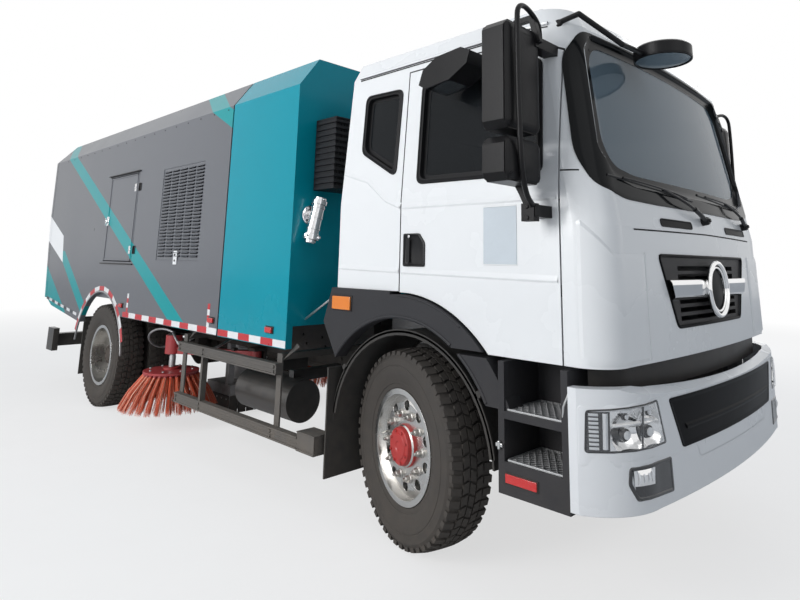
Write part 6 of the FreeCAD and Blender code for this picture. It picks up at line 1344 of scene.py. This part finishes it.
DOME = [(0.034, 0.0), (0.034, 0.008), (0.028, 0.022), (0.016, 0.031), (0.003, 0.034)]
braces, markers = bmesh.new(), bmesh.new()
for sign in (1, -1):
    brace = [(1.665, 1.10, 1.13), (1.98, 1.12, 1.29), (2.06, 1.12, 1.30), (2.10, 1.12, 1.19)]
    tube(braces, [(x, sign * y, z) for x, y, z in brace], 0.008, sides=6)
    turned(markers, (3.52, sign * 0.94, 2.888), DOME, 20)
fit("flare_braces", braces, "chassis", bright_steel)
fit("roof_markers", markers, "cab", lamp_bright)

# ---- Mirrors -----------------------------------------------------------------
# Black moulded heads with crowned covers on a bent steel tube, with silvered glass in a
# rim; bolted clamps hold them to the doors, and a round mirror hangs ahead of the cab.
mirror_black = finish("mirror_black", (0.010, 0.010, 0.011), 0.34, mirror=0.15, patch=0.2, patch_size=4,
                      grain=0.12, grain_size=90, dust=0.05, dust_top=3.0)
mirror_glass = finish("mirror_glass", (0.70, 0.74, 0.76), 0.04, metallic=1.0, patch=0.03, edge=0.001)
dress(mirror_black, "mirror_left", "mirror_right", "front_mirror")


def swell(high, power):
    """Height of a crowned cover that falls off towards its rim."""
    return lambda u, v: high * (1 - abs(2 * u - 1) ** power) * (1 - abs(2 * v - 1) ** power)


def smooth(points, steps):
    """Points on a soft curve through the given ones."""
    knots = [Vector(point) for point in points]
    knots = [knots[0] * 2 - knots[1]] + knots + [knots[-1] * 2 - knots[-2]]
    line = []
    for a, b, c, d in zip(knots, knots[1:], knots[2:], knots[3:]):
        for t in (k / steps for k in range(steps)):
            bend = (2 * a - 5 * b + 4 * c - d) * t * t + (3 * b - a - 3 * c + d) * t ** 3
            line.append(0.5 * (2 * b + (c - a) * t + bend))
    return line + [knots[-2]]


# Rings of a head's cover and of the rim round its glass, as (how far in, height).
COVER_RINGS = [(0.0, -0.006), (0.0, 0.004), (0.008, 0.010), (0.020, 0.014), (0.034, 0.016)]
RIM_RINGS = [(0.0, -0.004), (0.0, 0.005), (0.007, 0.006), (0.012, 0.0015)]
# Bent tube that carries the heads in front, from the upper bracket to the foot.
CARRIER = [(3.675, 1.20, 2.612), (3.700, 1.26, 2.690), (3.716, 1.38, 2.728), (3.728, 1.462, 2.700),
           (3.732, 1.480, 2.600), (3.732, 1.478, 2.300), (3.730, 1.462, 2.020), (3.722, 1.435, 1.910),
           (3.702, 1.375, 1.838), (3.682, 1.300, 1.800)]
MIRROR_STUFF = [mirror_black, mirror_glass]
HEAD_NEAR, HEAD_WIDE = 1.262, 0.271
for side, sign in SIDES:
    heads = bmesh.new()

    def ahead(spot, height):
        return (3.695 + height, sign * spot[0], spot[1])

    def behind(spot, height):
        return (3.575 - height, sign * spot[0], spot[1])

    for low, tall in ((2.137, 0.496), (1.902, 0.186)):
        outline = spread(rounded(oblong(HEAD_NEAR, low, HEAD_WIDE, tall), 0.036, 4), 2)
        for place, rings, inset, across, up, height, index in (
                (ahead, COVER_RINGS, 0.034, 12, 14, arched(0.0155, 0.008, True), 0),
                (behind, RIM_RINGS, 0.012, 10, 12, arched(0.0015, 0.003, True), 1)):
            collar(heads, [(moved_in(outline, depth), level) for depth, level in rings], place)
            face = oblong(HEAD_NEAR + inset, low + inset, HEAD_WIDE - 2 * inset, tall - 2 * inset)
            quilt(heads, place, face, across, up, height, index)
    tube(heads, smooth([Vector((x, sign * y, z)) for x, y, z in CARRIER], 5), 0.0125, sides=12)
    # Clamps that hold the heads and the tube's foot, with their bolts.
    for z in (2.05, 2.24, 2.52):
        slab(heads, (3.548, sign * 1.272, z), (3.590, sign * 1.308, z + 0.045))
        bolt(heads, (3.569, sign * 1.308, z + 0.022), (0, sign, 0), 0.009, 0.006)
    for z in (1.760, 2.570):
        slab(heads, (3.623, sign * 1.268, z - 0.030), (3.693, sign * 1.312, z + 0.052))
        for up in (-0.014, 0.036):
            bolt(heads, (3.657, sign * 1.312, z + up), (0, sign, 0), 0.010, 0.007)
    fit(f"mirror_{side}_heads", heads, f"door_{side}", MIRROR_STUFF, bevel=0.0015, crease=45)

kerb, dish = bmesh.new(), bmesh.new()
quilt(kerb, lambda spot, height: (spot[0], spot[1], 2.460 + 0.118 * (spot[0] - 3.05) - height),
      oblong(3.055, -1.362, 0.160, 0.164), 8, 8, swell(0.010, 4), 1)
fit("kerb_mirror_glass", kerb, "door_right", MIRROR_STUFF, crease=60)
# Front mirror: the cover on its back, the rim and the glass.
for low, index, profile in (
        (2.690, 0,
         [(0.149, -0.006), (0.149, 0.004), (0.138, 0.014), (0.105, 0.024), (0.055, 0.030), (0.002, 0.032)]),
        (2.635, 0, [(0.149, 0.004), (0.149, -0.006), (0.141, -0.008), (0.139, -0.003)]),
        (2.635, 1, [(0.139, -0.003), (0.10, -0.010), (0.05, -0.014), (0.002, -0.015)])):
    turned(dish, (4.0, -0.5, low), profile, 48, index)
bolt(dish, (4.0, -0.5, 2.718), (0, 0, 1), 0.022, 0.014, sides=20)
bolt(dish, (3.70, -1.062, 2.745), (0, -1, 0.4), 0.026, 0.020, sides=16)
fit("front_mirror_cover", dish, "cab", MIRROR_STUFF)

# ---- Seats and dashboard -----------------------------------------------------
# Three foam seats in dark woven cloth with side bolsters, sewn channels and piping, and
# a moulded dashboard with a hooded cluster, vents and a leather-rimmed wheel.
def cushion(mesh, low, high, channels, axis, face):
    """A crowned closed pad: sides pull in between its corners and channels cross its face."""
    low, high = Vector(low), Vector(high)
    middle, half = (low + high) / 2, (high - low) / 2
    made = bmesh.ops.create_cube(mesh, size=2.0)
    bmesh.ops.subdivide_edges(mesh, edges=list({edge for corner in made["verts"]
                                                for edge in corner.link_edges}), cuts=22,
                              use_grid_fill=True)
    fresh = [corner for corner in mesh.verts if not corner.tag]
    for corner in fresh:
        corner.tag = True
        size = max(abs(value) for value in corner.co)
        soft = corner.co * (size / (sum(abs(value) ** 7 for value in corner.co) ** (1 / 7) or 1.0))
        for k in range(3):
            if abs(soft[k]) > 0.55:
                bulge = (1 - soft[k - 1] ** 2) * (1 - soft[k - 2] ** 2)
                soft[k] *= 1 - PULL * (1 - bulge)
        share = (soft[axis] + 1) / 2
        if soft[face] > 0.5 and 0.08 < share < 0.92:
            aside = abs(share * channels - round(share * channels))
            soft[face] -= SEWN_DEPTH * (1 - min(1.0, 8 * aside)) ** 2
        corner.co = middle + Vector([soft[k] * half[k] for k in range(3)])


def piping(mesh, corners):
    """A sewn cord round a pad's edge."""
    line = [Vector(spot) for spot in corners]
    tube(mesh, smooth([*line, line[0]], 6), 0.004, sides=6, index=1)


def woven(name, colour):
    """Woven cloth: a fine grain and a soft sheen over patches of uneven tone."""
    made = finish(name, colour, 0.85, patch=0.18, patch_size=6, grain=0.2, grain_size=220, edge=0.001)
    made.node_tree.nodes["Principled BSDF"].inputs["Sheen Weight"].default_value = 0.35
    return made


seat_cloth = woven("seat_cloth", (0.055, 0.058, 0.066))
seat_piping = woven("seat_piping", (0.16, 0.165, 0.175))
seat_plinth = finish("seat_plinth", (0.03, 0.03, 0.032), 0.6, patch=0.15, grain=0.1)
SEAT_STUFF = [seat_cloth, seat_piping, seat_plinth]
# Shares of a pad's half size: how far its sides pull in and how deep its channels are.
PULL, SEWN_DEPTH = 0.05, 0.07
floor = 1.430
for name, middle, half in (("driver", 0.62, 0.25), ("middle", 0.0, 0.19), ("right", -0.62, 0.25)):
    pads = bmesh.new()
    near, far = middle - half, middle + half
    cushion(pads, (2.595, near + 0.006, floor + 0.150), (3.114, far - 0.006, floor + 0.318), 3, 1, 2)
    cushion(pads, (2.456, near + 0.008, floor + 0.290), (2.592, far - 0.008, floor + 0.896), 4, 2, 0)
    cushion(pads, (2.464, middle - 0.122, floor + 0.930), (2.546, middle + 0.122, floor + 1.086), 1, 2, 0)
    piping(pads, [(x, y, floor + 0.300) for x, y in oblong(2.64, near + 0.03, 0.43, 2 * half - 0.06)])
    piping(pads, [(2.585, y, z) for y, z in oblong(near + 0.035, floor + 0.34, 2 * half - 0.07, 0.51)])
    for post in (-0.06, 0.06):
        tube(pads, [(2.505, middle + post, floor + 0.88), (2.505, middle + post, floor + 0.95)], 0.006,
             sides=8, index=2)
    slab(pads, (2.46, near + 0.03, floor + 0.001), (3.06, far - 0.03, floor + 0.158), index=2)
    seat = fit(f"seat_{name}", pads, "cab", SEAT_STUFF, crease=60)
    if name == "driver":
        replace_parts(seat, "seats")

dash_grey = finish("dash_grey", (0.045, 0.046, 0.050), 0.62, patch=0.12, grain=0.25, grain_size=180,
                   edge=0.001)
dress(dash_grey, "dashboard")
dash = bmesh.new()


def on_dash(spot, height):
    """Puts (across, up) on the sloping face of the dashboard that the seats see."""
    return (3.575 + 0.06 * (spot[1] - 1.48) - height, spot[0], spot[1])


def on_top(spot, height):
    """Puts (across, along) on top of the dashboard."""
    return (spot[1], spot[0], 1.862 + 0.14 * (spot[1] - 3.60) + height)


quilt(dash, on_top, [(0.36, 3.605), (0.88, 3.605), (0.86, 3.735), (0.38, 3.735)], 16, 6,
      lambda u, v: 0.045 * math.sin(math.pi * u) ** 0.5 * (1 - v) + 0.001)
for middle in (-0.80, -0.16, 0.16, 0.90):
    for level in range(4):
        quilt(dash, on_dash, oblong(middle - 0.055, 1.775 + 0.016 * level, 0.11, 0.009), 4, 2,
              arched(0.001, 0.006))
quilt(dash, on_dash, oblong(-0.10, 1.60, 0.20, 0.13), 6, 4, swell(0.008, 8), 1)
quilt(dash, on_dash, [(0.42, 1.70), (0.82, 1.70), (0.80, 1.83), (0.44, 1.83)], 10, 6, swell(0.010, 8), 1)
quilt(dash, on_dash, oblong(-0.86, 1.58, 0.50, 0.14), 10, 4, swell(0.006, 10), 0)
rake, reach = math.radians(35), 0.225
tube(dash, [(3.34 - reach * math.cos(turn) * math.cos(rake), 0.62 + reach * math.sin(turn),
             1.985 - reach * math.cos(turn) * math.sin(rake)) for turn in TURN], 0.0185, sides=12, index=2)
bolt(dash, (3.345, 0.62, 1.978), (-math.sin(rake), 0, math.cos(rake)), 0.062, 0.028, sides=32, index=2)
dash_gloss = finish("dash_gloss", (0.01, 0.01, 0.012), 0.15, coat=0.4, patch=0.1)
wheel_leather = finish("wheel_leather", (0.02, 0.02, 0.021), 0.55, patch=0.2, grain=0.4, grain_size=240)
fit("dash_details", dash, "cab", [dash_grey, dash_gloss, wheel_leather], crease=45)
